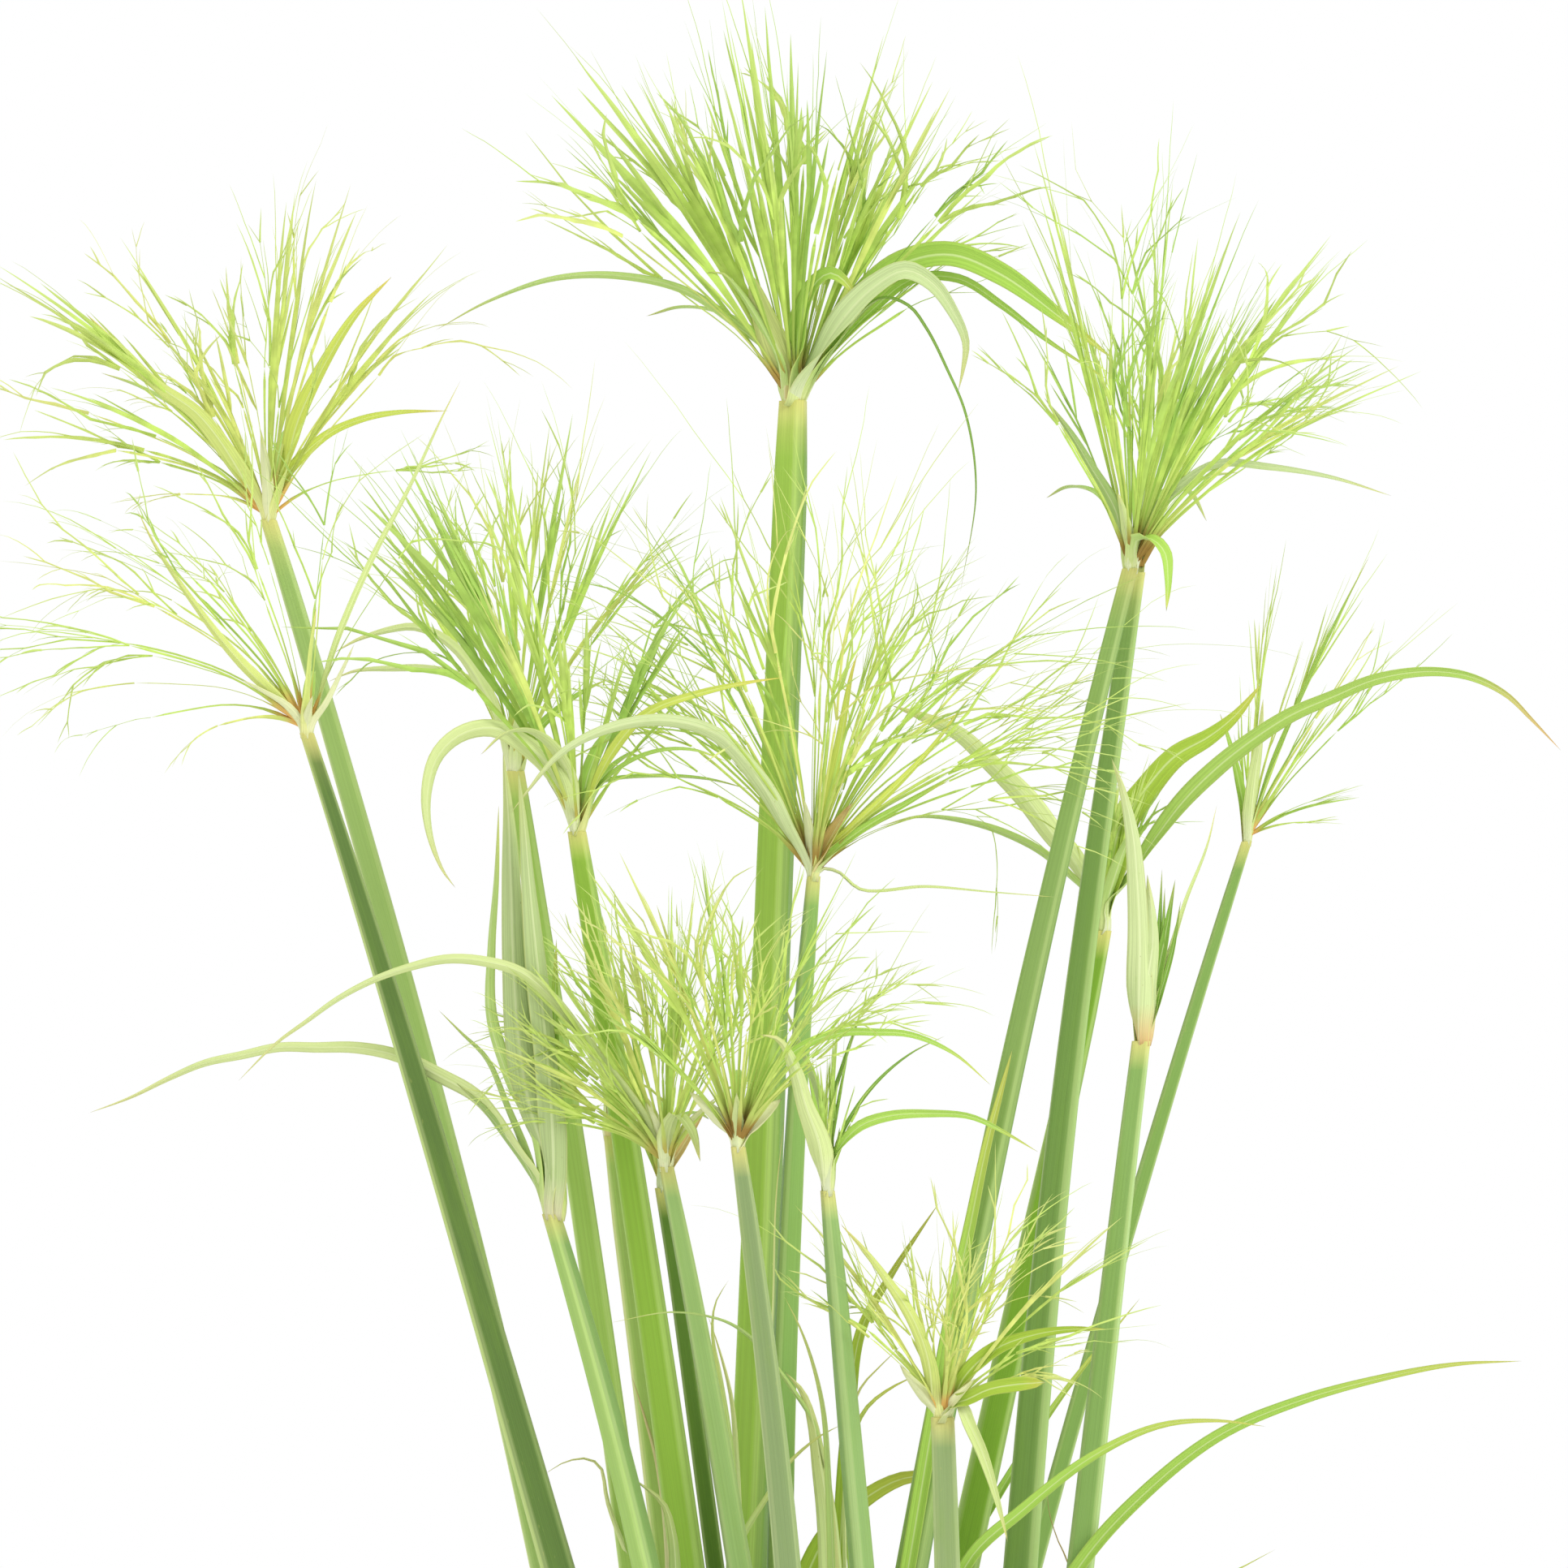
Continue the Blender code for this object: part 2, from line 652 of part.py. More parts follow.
def make_rays(name, stem, plume, group, material, room):
    """A low cap that sits on the collar, with the rays grown from it."""
    ring_radius = stem.top_width / 2 + 0.7 + COLLAR_FLARE
    cap_radius = ring_radius - 2
    cap_tilt = 26
    ball_radius = cap_radius / math.sin(math.radians(cap_tilt))
    low = np.array(stem.head, float) + (0, 0, 2 * GAP + COLLAR_HEIGHT + BLADE_THICKNESS)
    centre = low + (0, 0, CAP_HEIGHT - ball_radius * math.cos(math.radians(cap_tilt)))
    footings = []
    strands = []
    for count, share in plume.rings:
        for i in range(count):
            around = 360 * (i + 0.5 * share) / count
            angle = math.radians(around)
            outward = tilted(
                cap_tilt * share * math.cos(angle), cap_tilt * share * math.sin(angle)
            )
            foot = centre + outward * ball_radius
            line, balls = make_ray(plume, low, outward, foot, around, share, room)
            room.fill(balls, RAY_RADIUS)
            footings.append(ray_section(foot, outward, RAY_RADIUS))
            rings = []
            for at, station in enumerate(RAY_STATIONS, 1):
                ahead = line[at + 1] - line[at - 1]
                ahead /= np.linalg.norm(ahead)
                rings.append(ray_section(line[at], ahead, RAY_RADIUS * (1.15 - 0.6 * station)))
            strands.append((rings, line[-1]))
    form = bmesh.new()
    starts = knob(form, footings, circle(low, cap_radius - 0.6, COLLAR_SIDES))
    for start, (rings, tip) in zip(starts, strands):
        skin(form, start, rings, tip)
    new_object(name, mesh_of(name, form), group, material)


# Pot and soil


def turned(name, profile, group, material):
    """A solid of revolution: the profile runs from the axis, down its outer side, back."""
    mesh = bpy.data.meshes.new(name)
    points = [(radius * MM, 0, height * MM) for radius, height in profile]
    mesh.from_pydata(points, [(i, i + 1) for i in range(len(points) - 1)], [])
    thing = new_object(name, mesh, group, material)
    screw = thing.modifiers.new("turn", "SCREW")
    screw.steps = POT_SIDES
    screw.render_steps = POT_SIDES
    screw.use_merge_vertices = True
    screw.merge_threshold = 0.0001
    return thing


def pot_radius(z):
    """The pot's outer radius at this height, under the rim."""
    return POT_FOOT_RADIUS + (POT_TOP_RADIUS - RIM_PROUD - POT_FOOT_RADIUS) * z / POT_HEIGHT


def make_pot(group, material):
    inside_top = pot_radius(POT_HEIGHT - 1) - POT_WALL
    profile = (
        (0, POT_FLOOR),
        (pot_radius(POT_FLOOR) - POT_WALL, POT_FLOOR),
        (inside_top, POT_HEIGHT - 1),
        (inside_top + 1, POT_HEIGHT),
        (POT_TOP_RADIUS - 1, POT_HEIGHT),
        (POT_TOP_RADIUS, POT_HEIGHT - 1),
        (POT_TOP_RADIUS - 0.5, POT_HEIGHT - RIM_HEIGHT),
        (pot_radius(POT_HEIGHT - RIM_HEIGHT), POT_HEIGHT - RIM_HEIGHT - RIM_PROUD),
        (POT_FOOT_RADIUS, 2),
        (POT_FOOT_RADIUS - 2, 0),
        (0, 0),
    )
    turned("pot", profile, group, material)


def make_soil(group, cutters, material):
    """The soil fills the pot, and leaves a pocket for each stem and leaf."""
    low = POT_FLOOR + GAP
    profile = (
        (0, SOIL_TOP + SOIL_CROWN),
        (0.6 * POT_TOP_RADIUS, SOIL_TOP + 0.8 * SOIL_CROWN),
        (pot_radius(SOIL_TOP - SOIL_CROWN) - POT_WALL - 2 * GAP, SOIL_TOP - SOIL_CROWN),
        (pot_radius(low) - POT_WALL - 2 * GAP, low),
        (0, low),
    )
    soil = turned("soil", profile, group, material)
    pockets = soil.modifiers.new("pockets", "BOOLEAN")
    pockets.operation = "DIFFERENCE"
    pockets.operand_type = "COLLECTION"
    pockets.collection = cutters
    pockets.solver = "EXACT"


def main():
    clear_scene()
    plant = new_collection("potted_papyrus")
    cutters = new_collection("cutters")
    stem_green = new_material("stem_green", STEM_GREEN, 0.45)
    bract_green = new_material("bract_green", BRACT_GREEN, 0.5)
    ray_green = new_material("ray_green", RAY_GREEN, 0.5)
    leaf_green = new_material("leaf_green", LEAF_GREEN, 0.5)
    shoot_pale = new_material("shoot_pale", SHOOT_PALE, 0.5)
    room = Room()
    for number, stem in STEMS.items():
        make_stem(f"stem_{number:02d}", stem, plant, cutters, stem_green, room)
    make_stem("young_shoot", SHOOT, plant, cutters, shoot_pale, room)
    for number, (foot, blade) in LEAVES.items():
        make_leaf(f"leaf_{number:02d}", foot, blade, plant, cutters, leaf_green, room)
    for number, blades in BRACTS.items():
        make_bracts(f"bracts_{number:02d}", STEMS[number], blades, plant, bract_green, room)
    for number, plume in PLUMES.items():
        make_rays(f"rays_{number:02d}", STEMS[number], plume, plant, ray_green, room)
    make_pot(plant, new_material("pot_plastic", POT_COLOUR, 0.4))
    make_soil(plant, cutters, new_material("soil_brown", SOIL_BROWN, 0.95))
    for cutter in cutters.objects:
        cutter.hide_render = True
        cutter.display_type = "WIRE"


main()
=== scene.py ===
"""Looks of a potted papyrus plant (Cyperus papyrus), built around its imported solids.

Metres, +Z up, and the plant's front looks towards -Y. Lengths in the tables are in
millimetres, angles in degrees and colours in 0 to 255. Every stem, whorl and plume
stands on the solid that it replaces: lines and heads are read from the frame.
"""

import math
from typing import NamedTuple

import bpy
import numpy as np
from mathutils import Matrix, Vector, noise


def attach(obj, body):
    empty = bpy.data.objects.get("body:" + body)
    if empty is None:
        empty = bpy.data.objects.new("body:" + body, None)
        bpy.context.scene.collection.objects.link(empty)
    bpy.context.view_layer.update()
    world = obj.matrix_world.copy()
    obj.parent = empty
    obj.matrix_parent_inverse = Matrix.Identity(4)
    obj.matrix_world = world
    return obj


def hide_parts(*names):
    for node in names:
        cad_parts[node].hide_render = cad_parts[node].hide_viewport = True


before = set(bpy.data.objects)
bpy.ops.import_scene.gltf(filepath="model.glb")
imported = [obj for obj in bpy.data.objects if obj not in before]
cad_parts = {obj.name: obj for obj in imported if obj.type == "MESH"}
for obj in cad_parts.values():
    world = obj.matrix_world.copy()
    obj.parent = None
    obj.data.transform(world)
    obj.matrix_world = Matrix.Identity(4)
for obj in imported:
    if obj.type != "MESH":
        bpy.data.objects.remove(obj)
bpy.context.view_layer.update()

MM = 0.001
UP = np.array((0.0, 0.0, 1.0))

# Camera: level with the middle of the picture, in front of the plant
CAMERA_AT = (-6, -3000, 652)
PICTURE_WIDTH = 603.75  # what the picture spans at the pot's axis
SENSOR_WIDTH = 36.0

# Stems
STEM_SIDES = 42
STEM_STEP = 11
FLAT_SHARE = 0.743  # of the stem's radius, from its axis to a flat side
CORNER_SHARE = 0.955
SECTION_POWER = 15  # how crisply the flat sides meet
FULLNESS = 1.15  # the solid's corners are cut off, so the section goes past it
NECK_RUN = 30
# Painted highlight along the stem's corners, where the ridges catch the light
CORNER_HIGHLIGHT = (206, 222, 150)
BLOOM_GREY = (168, 184, 150)
STRAW = (196, 168, 108)
NECK_CREAM = (226, 218, 132)
SHOOT_GREEN = (200, 214, 132)

# Blades
BLADE_STEP = 3.2
BLADE_COLUMNS = 8
BLADE_THICKNESS = 0.55
ARC_STEPS = 5
LEAF_STEP = BLADE_STEP * 1.4
FOOT_RUN = 14  # from a blade's foot to where it has its own width
HUG_RUN = 26  # from its foot, folded up around the stem, to where it lies open
PALE_RUN = 16  # from the colour of its foot to the one of its length
BRACT_HUG = 0.4
LEAF_HUG = 0.3
OPEN_FOLD = 0.15
UNDER_GREEN = (206, 216, 160)

# Rays
SHEATH = 12  # how far the thicker foot of a ray reaches
SHEATH_END = 6
BAND_STRAY = (2.4, 6)  # degrees that the rays of a band stray aside and back
TONE_STRAY = 0.2
FOOT_LEAN = 0.72  # how far a ray leans at its foot, as a share of its band's angle
RIBBON_LEAN = 1.06  # how far it leans aside in the end
KNOTTED_LEAN = 1.2
RUN_STEPS = 3
KNOT_TURN = 0.19
CURL = 0.5
FILAMENT_SHARE = 0.2  # of the knots that grow a long fine thread
TWIG_SHARE = 0.66  # of the knots that grow a thread or a twig
RIBBON_FACE = np.array((1.0, 0.0, 0.4))  # most ribbons turn their flat side to the front

# Pot and soil
POT_HEIGHT = 165
POT_TOP_RADIUS = 105
POT_FOOT_RADIUS = 78
POT_WALL = 3.5
RIM_HEIGHT = 16
RIM_PROUD = 3
POT_SIDES = 128
SOIL_TOP = 145
SOIL_CROWN = 3
SOIL_SIDES = 200
SOIL_RINGS = 56
CRUMBS = 420
CRUMB_SIDES = 7

# Seeds of the random draws; whorls, plumes and leaves add their own number
WHORL_SEED = 100
PLUME_SEED = 200
LEAF_SEED = 300
SMALL_LEAF_SEED = 350
SHOOT_SEED = 400
SOIL_SEED = 500


class StemLook(NamedTuple):
    """turn: degrees that the section is turned. The greens are of its front, right and left flats, and
    they hold painted shade and light: a flat turned from the key light is painted darker, one facing it
    lighter. bloom is its grey wax, dry the share of it that has gone to straw, and girth what it is fuller
    than its solid under the neck."""

    turn: float
    front: tuple
    right: tuple
    left: tuple
    bloom: float = 0.0
    dry: float = 0.0
    girth: float = 0.0


class Blade(NamedTuple):
    """A bract or leaf: route holds its way as steps right, back and up from its foot.
    roll turns its face, 90 to the front; taper is high where it stays wide to its end."""

    look: str
    width: float
    roll: float
    route: tuple
    taper: float = 1.9


class Band(NamedTuple):
    """Rays side by side; their way is aside and back from upright."""

    aside: float
    back: float
    reach: float
    rays: int
    width: float


class Plume(NamedTuple):
    """The bands hold what is seen one by one, and loose rays fill the dome: its lean and
    fan to the side, then its lean and depth to the back, in degrees."""

    foot: str
    tone: float
    knots: float  # share of the rays that fork at knots
    fork_at: float
    droop: float
    loose: int
    dome: tuple
    reach: float
    width: float
    bands: tuple


def arched(width, azimuth, length, rise, bend, look="green", roll=0, taper=1.9):
    """A blade in an arc, which leaves rise degrees above level and bends down on its way."""
    around = math.radians(azimuth)
    point = np.zeros(3)
    route = []
    for i in range(ARC_STEPS):
        up = math.radians(rise - bend * (i + 0.5) / ARC_STEPS)
        ahead = (math.cos(up) * math.cos(around), math.cos(up) * math.sin(around), math.sin(up))
        point = point + np.array(ahead) * length / ARC_STEPS
        route.append(tuple(point))
    return Blade(look, width, roll, tuple(route), taper)


# The greens of each stem's flats hold painted shade and light: flats turned from the key light are painted
# darker, flats facing it lighter.
STEM_LOOKS = {
    1: StemLook(14, (92, 120, 56), (84, 112, 48), (176, 198, 116)),
    2: StemLook(-8, (152, 182, 100), (156, 184, 106), (200, 214, 136), girth=0.15),
    3: StemLook(-42, (158, 194, 78), (116, 156, 54), (158, 194, 78), girth=0.2),
    4: StemLook(34, (138, 176, 92), (138, 176, 92), (108, 148, 62), girth=0.14),
    5: StemLook(-24, (150, 190, 68), (122, 162, 46), (168, 202, 98), girth=0.12),
    6: StemLook(6, (146, 180, 98), (152, 186, 98), (104, 134, 62), 0.1, girth=0.12),
    7: StemLook(4, (124, 148, 84), (136, 162, 94), (180, 198, 130), 0.2, girth=0.2),
    8: StemLook(48, (142, 178, 98), (116, 156, 80), (142, 178, 98), 0.1, girth=0.3),
    9: StemLook(5, (136, 160, 92), (142, 168, 98), (184, 202, 136), 0.2),
    10: StemLook(-34, (144, 176, 96), (112, 150, 70), (172, 202, 128), girth=0.06),
    11: StemLook(-26, (124, 158, 80), (140, 176, 96), (104, 140, 64)),
    12: StemLook(-6, (124, 166, 50), (110, 152, 42), (158, 194, 80), girth=0.25),
    13: StemLook(-14, (136, 172, 92), (160, 194, 122), (120, 156, 76)),
    14: StemLook(12, (128, 164, 82), (128, 164, 82), (108, 144, 66), girth=0.1),
    15: StemLook(-52, (166, 200, 108), (136, 170, 96), (166, 200, 108), girth=0.06),
    16: StemLook(-12, (154, 188, 88), (128, 164, 66), (190, 212, 130), girth=0.1),
    17: StemLook(0, (98, 132, 52), (96, 130, 46), (84, 110, 62), girth=-0.2),
    18: StemLook(24, (168, 202, 108), (168, 202, 108), (212, 222, 152), 0.0, 0.1, girth=0.45),
}

# Looks of blades: colours at the foot, over most of the length, and at the tip
BLADE_LOOKS = {
    "cream": ((240, 234, 190), (228, 230, 178), (212, 210, 130)),
    "pale": ((234, 234, 198), (206, 222, 142), (224, 216, 126)),
    "grey": ((230, 232, 204), (194, 212, 150), (206, 206, 120)),
    "green": ((224, 228, 156), (170, 208, 92), (208, 208, 96)),
    "bright": ((224, 228, 156), (160, 198, 82), (208, 208, 96)),
    "dark": ((200, 208, 120), (130, 172, 68), (168, 176, 80)),
    "yellow": ((232, 226, 150), (206, 220, 98), (230, 210, 90)),
    "dry": ((230, 204, 144), (218, 188, 126), (180, 144, 92)),
    "leaf": ((210, 218, 156), (166, 204, 88), (202, 204, 96)),
    "olive": ((208, 212, 146), (164, 192, 66), (196, 194, 84)),
    "husk": ((224, 214, 168), (226, 214, 164), (204, 160, 96)),
    "collared": ((224, 146, 84), (190, 208, 142), (206, 208, 120)),
    "shaded": ((216, 202, 170), (160, 184, 116), (190, 200, 108)),
    "tawny": ((206, 154, 96), (186, 194, 98), (190, 198, 92)),
    "tanned": ((232, 230, 212), (168, 200, 96), (224, 176, 118)),
    "striped": ((226, 230, 184), (198, 218, 136), (208, 208, 116)),
}

# The blades of each head, by the number of its stem
BRACTS = {
    1: (
        Blade("cream", 5, 25, ((-8, -4, 7), (-17, -7, 13), (-24, -10, 17))),
        Blade("cream", 4.5, -10, ((8, -3, 8), (13, -4, 19), (18, -5, 30))),
        Blade("cream", 4, 0, ((1, -5, 4), (2, -8, 8), (3, -10, 11))),
        Blade("yellow", 5, 75, (
            (-9, -3, 8), (-19, -6, 18), (-29, -9, 29), (-41, -12, 45), (-55, -15, 66), (-62, -16, 80),
        ), 1.3),
        Blade("yellow", 6, 50, ((1, -4, 14), (2, -6, 28), (4, -7, 44))),
        Blade("pale", 2.8, 80, ((11, 2, 31), (24, 5, 62), (38, 7, 89), (50, 9, 115), (57, 10, 129))),
        arched(5, 90, 60, 50, 60),
    ),
    2: (
        Blade("yellow", 7.5, 90, (
            (-10, -4, 14), (-27, -11, 38), (-42, -16, 49), (-56, -20, 63), (-70, -25, 77),
        )),
        Blade("yellow", 9, 85, ((7, -5, 16), (12, -11, 35), (24, -18, 59), (36, -24, 77), (50, -30, 91))),
        Blade("yellow", 4.5, 80, ((6, 3, 13), (21, 8, 30), (35, 12, 37), (49, 15, 40), (70, 20, 41))),
        Blade("cream", 6, 0, ((0, -8, 10), (-1, -14, 22), (-2, -18, 32))),
        arched(6, 85, 90, 55, 60),
        arched(5, 140, 112, 52, 40, "green", 50),
    ),
    3: (
        Blade("green", 4, 90, (
            (-9, 1, 14), (-23, 2, 27), (-42, 4, 40), (-68, 5, 46), (-94, 7, 45), (-120, 9, 36),
            (-140, 10, 25),
        )),
        Blade("green", 4.6, 60, (
            (-6, -4, 12), (-14, -7, 28), (-22, -9, 40), (-28, -10, 46), (-34, -11, 46),
        )),
        Blade("bright", 13, 70, (
            (1, -3, 11), (3, -5, 30), (8, -8, 42), (14, -11, 46), (21, -14, 41), (24, -15, 34),
        )),
        Blade("tawny", 12, 75, ((-3, -3, 8), (-8, -5, 20), (-13, -7, 33), (-17, -9, 46)), 4),
        Blade("bright", 12.5, 75, (
            (12, -2, 14), (25, -4, 34), (41, -8, 49), (60, -12, 53), (80, -16, 45), (103, -20, 28),
            (123, -24, 12),
        ), 2.6),
        Blade("green", 5, 80, (
            (12, 0, 12), (30, 0, 32), (46, -4, 44), (64, -6, 44), (80, -8, 34), (98, -10, 20),
            (122, -14, 4),
        )),
        Blade("dark", 1.6, 50, (
            (33, -14, 36), (44, -18, 33), (51, -20, 24), (59, -22, 8), (66, -24, -9), (70, -26, -38),
            (64, -28, -78),
        )),
        Blade("grey", 15, 75, (
            (3, -6, 2), (9, -10, 13), (19, -16, 28), (31, -21, 40), (43, -25, 46), (53, -28, 41),
            (61, -31, 30), (66, -33, 18), (65, -34, 8), (63, -35, -1),
        ), 1.1),
        arched(8, 85, 130, 64, 92),
        arched(7, 135, 96, 60, 76),
    ),
    4: (
        Blade("grey", 7, 85, (
            (-10, -5, 15), (-20, -11, 33), (-37, -19, 51), (-57, -25, 56), (-79, -31, 52), (-95, -37, 43),
            (-107, -42, 29), (-113, -45, 21),
        )),
        Blade("dry", 8, 65, ((5, -4, 8), (11, -7, 19), (15, -9, 25)), 3),
        Blade("yellow", 9, 60, ((5, -4, 20), (10, -5, 45), (15, -6, 75), (17, -6, 82)), 1.6),
        Blade("yellow", 3.8, 75, ((4, -2, 5), (14, -4, 15), (28, -6, 28), (45, -7, 46), (59, -8, 65))),
        Blade("green", 4.5, 65, ((5, -3, 3), (12, -4, 10), (22, -5, 17), (36, -6, 25), (52, -7, 34))),
        Blade("pale", 1.6, 50, ((9, 1, -1), (18, 2, -8), (43, 5, -7), (67, 7, -9), (92, 10, -11))),
        arched(6, 75, 84, 60, 64),
        arched(6, 125, 64, 62, 50),
        arched(6, 255, 30, 70, 14, "cream"),
    ),
    5: (
        Blade("pale", 8.5, 90, (
            (-8, -5, 18), (-17, -8, 28), (-31, -12, 36), (-43, -14, 34), (-52, -17, 26), (-56, -21, 12),
            (-55, -24, -3), (-50, -28, -17), (-45, -30, -24),
        )),
        arched(5.5, 235, 82, 88, 130, "pale", 25),
        Blade("yellow", 5, 80, (
            (7, -4, 15), (16, -8, 31), (27, -12, 42), (46, -17, 49), (64, -22, 53), (78, -25, 55),
        )),
        arched(3.4, 332, 76, 66, 92, "green", 50),
        Blade("green", 3.4, 25, ((3, 3, 12), (10, 5, 16), (29, 10, 18), (49, 16, 17), (65, 20, 13))),
        arched(6.5, 76, 96, 60, 76),
        arched(6, 50, 50, 62, 50),
    ),
    6: (
        Blade("pale", 5, 90, (
            (-8, -2, 15), (-24, -6, 36), (-32, -8, 47), (-41, -10, 59), (-54, -13, 70), (-67, -15, 74),
            (-81, -17, 75), (-95, -19, 72), (-109, -21, 67), (-122, -23, 60), (-133, -25, 52),
            (-144, -27, 44), (-158, -30, 30),
        )),
        Blade("pale", 8, 0, ((1, -7, 10), (4, -12, 17), (9, -16, 12), (13, -25, 0))),
        arched(5, 10, 30, 60, 20, "cream", 50),
        arched(5, 110, 32, 60, 30, "cream"),
        arched(6, 240, 26, 66, 20, "cream"),
        arched(6, 60, 40, 78, 110),
    ),
    7: (
        arched(7, 182, 25, 46, 4, "cream", 70, 3),
        arched(7, 8, 22, 44, 4, "cream", 70, 3),
        Blade("green", 4.2, 80, (
            (8, 2, 16), (17, 4, 29), (28, 6, 36), (40, 8, 39), (51, 9, 39), (64, 11, 38), (80, 13, 31),
            (94, 15, 19),
        )),
        arched(5.5, 268, 22, 58, 10, "pale"),
        arched(5, 90, 58, 60, 70),
    ),
    8: (
        Blade("pale", 9, 50, (
            (-3, -7, 15), (-8, -14, 29), (-12, -21, 43), (-18, -27, 54), (-25, -30, 56),
        )),
        Blade("grey", 7, 0, ((-1, -2, 17), (-4, -4, 33), (-8, -5, 45), (-16, -8, 67))),
        Blade("dark", 4, 0, ((2, 2, 14), (2, 4, 29), (6, 6, 43), (14, 10, 67))),
        Blade("green", 4.4, 85, (
            (3, -2, 10), (12, -4, 21), (23, -6, 25), (38, -8, 26), (53, -11, 25), (66, -13, 19),
            (78, -15, 12),
        )),
        arched(2, 14, 74, 80, 60, "dark", 60),
        arched(6, 100, 74, 70, 56),
    ),
    9: (
        Blade("olive", 5.4, 80, ((4, -5, 2), (9, -7, 4), (17, -10, 8), (27, -12, 10), (38, -14, 11)), 14),
        Blade("olive", 6.6, 75, ((7, -1, 10), (19, -2, 22), (35, -3, 28), (49, -4, 30), (62, -5, 30))),
        Blade("pale", 5.4, 75, ((6, -4, 2), (10, -6, -5), (15, -9, -16), (20, -13, -32), (24, -17, -48))),
        Blade("yellow", 6, 80, (
            (-5, -4, 17), (-11, -9, 34), (-20, -13, 48), (-29, -17, 60), (-38, -20, 70),
        )),
        Blade("cream", 5, 65, ((-5, -4, 3), (-9, -6, 8), (-13, -7, 13), (-16, -8, 17)), 3),
        Blade("cream", 5, 60, ((4, -5, 2), (8, -7, 7), (12, -8, 12)), 3),
        arched(4.5, 85, 56, 56, 50),
    ),
    10: (
        Blade("dark", 6, 80, ((-5, 0, 17), (-16, 0, 37), (-24, 0, 50), (-33, 0, 62))),
        Blade("grey", 4, 85, (
            (8, 2, 17), (19, 3, 29), (33, 4, 37), (52, 6, 36), (77, 8, 32), (100, 10, 25),
        )),
        Blade("green", 6.8, 0, ((2, -6, 8), (7, -9, 8), (12, -14, 3), (13, -22, -8), (12, -30, -20))),
        arched(6.5, 248, 30, 70, 20, "pale"),
        arched(6, 45, 74, 60, 60),
    ),
    11: (
        arched(6.5, 70, 106, 60, 96),
        arched(6, 115, 90, 60, 80),
        arched(5, 96, 50, 80, 20, "green", 25),
    ),
    12: (
        Blade("tanned", 8, 90, (
            (2, -1, 7), (9, -3, 16), (20, -7, 33), (32, -10, 49), (45, -13, 62), (59, -16, 73),
            (73, -19, 82), (89, -22, 89), (106, -26, 96), (126, -29, 99), (142, -32, 97), (156, -35, 90),
            (166, -37, 80), (177, -40, 68),
        )),
        Blade("olive", 14.5, 90, (
            (2, 2, 12), (7, 6, 38), (18, 10, 54), (29, 12, 66), (43, 15, 74), (53, 17, 82), (64, 20, 95),
        )),
        Blade("pale", 9, 90, (
            (-3, 1, 7), (-10, 2, 23), (-21, 3, 37), (-30, 5, 49), (-45, 6, 64), (-57, 8, 75), (-72, 9, 82),
            (-83, 10, 86),
        ), 4),
        Blade("green", 4.2, 80, (
            (-3, 2, 6), (-21, 11, 26), (-37, 18, 35), (-53, 23, 40), (-72, 29, 42), (-88, 35, 38),
        )),
        arched(8, 80, 112, 62, 84),
        arched(7, 300, 50, 72, 28),
    ),
    13: (
        Blade("collared", 10.5, 60, (
            (-1, -3, 19), (-1, -5, 36), (-2, -8, 56), (-4, -10, 76), (-8, -12, 93), (-12, -13, 104),
        )),
        Blade("collared", 9, 0, ((2, -2, 18), (4, -3, 36), (2, -4, 60))),
        Blade("dark", 5.2, 60, ((6, 2, 21), (9, 3, 36), (13, 5, 58))),
        Blade("dark", 3, 60, ((6, 2, 16), (8, 3, 34), (9, 4, 55))),
        Blade("dark", 3, 60, ((7, 1, 14), (12, 2, 32), (15, 3, 50))),
        Blade("dark", 3, 60, ((5, 3, 20), (7, 4, 42), (8, 5, 62))),
        Blade("pale", 2.4, 70, ((6, 2, 18), (11, 4, 31), (17, 6, 50), (25, 8, 70), (29, 10, 86))),
        arched(8, 100, 82, 84, 12),
    ),
    14: (
        Blade("pale", 6.8, 0, ((2, -3, 12), (3, -5, 23), (5, -9, 38), (6, -12, 54))),
        arched(3, 350, 122, 70, 8, "green", 50),
        arched(4.5, 110, 56, 76, 30),
    ),
    15: (
        Blade("shaded", 11.5, 75, (
            (-2, -2, 17), (-8, -3, 38), (-12, -4, 62), (-14, -5, 90), (-15, -5, 120), (-16, -5, 147),
            (-18, -5, 170),
        ), 2.6),
        Blade("shaded", 10.5, 75, (
            (1, -5, 17), (0, -8, 38), (-2, -9, 62), (-5, -10, 90), (-8, -11, 120), (-10, -12, 144),
            (-12, -13, 163),
        ), 2.6),
        Blade("green", 7, 70, (
            (-7, 1, 26), (-16, 2, 48), (-23, 3, 71), (-23, 4, 96), (-21, 5, 123), (-20, 6, 150),
        )),
        Blade("green", 8, 50, ((3, 1, 17), (2, 2, 38), (-1, 3, 63), (-5, 4, 87), (-9, 5, 114))),
        Blade("dark", 5, 75, ((-8, 2, 13), (-17, 3, 26), (-27, 4, 38), (-36, 5, 46))),
        Blade("pale", 6, 90, (
            (-5, 1, 10), (-13, 2, 21), (-21, 4, 32), (-29, 5, 41), (-41, 6, 48), (-58, 8, 56),
            (-74, 10, 59), (-89, 11, 59), (-103, 13, 59), (-117, 14, 56), (-131, 15, 53), (-145, 17, 47),
            (-159, 18, 40), (-175, 20, 34),
        )),
        Blade("green", 4.2, 70, ((-8, 3, 15), (-17, 7, 37), (-25, 11, 55), (-34, 13, 64), (-43, 15, 73))),
        arched(8, 60, 100, 88, 0),
    ),
    16: (
        Blade("pale", 6, 75, (
            (-9, 2, 22), (-15, 4, 33), (-22, 5, 43), (-31, 6, 50), (-40, 7, 53), (-49, 8, 52),
            (-62, 9, 48), (-71, 10, 43),
        )),
        Blade("pale", 5, 75, (
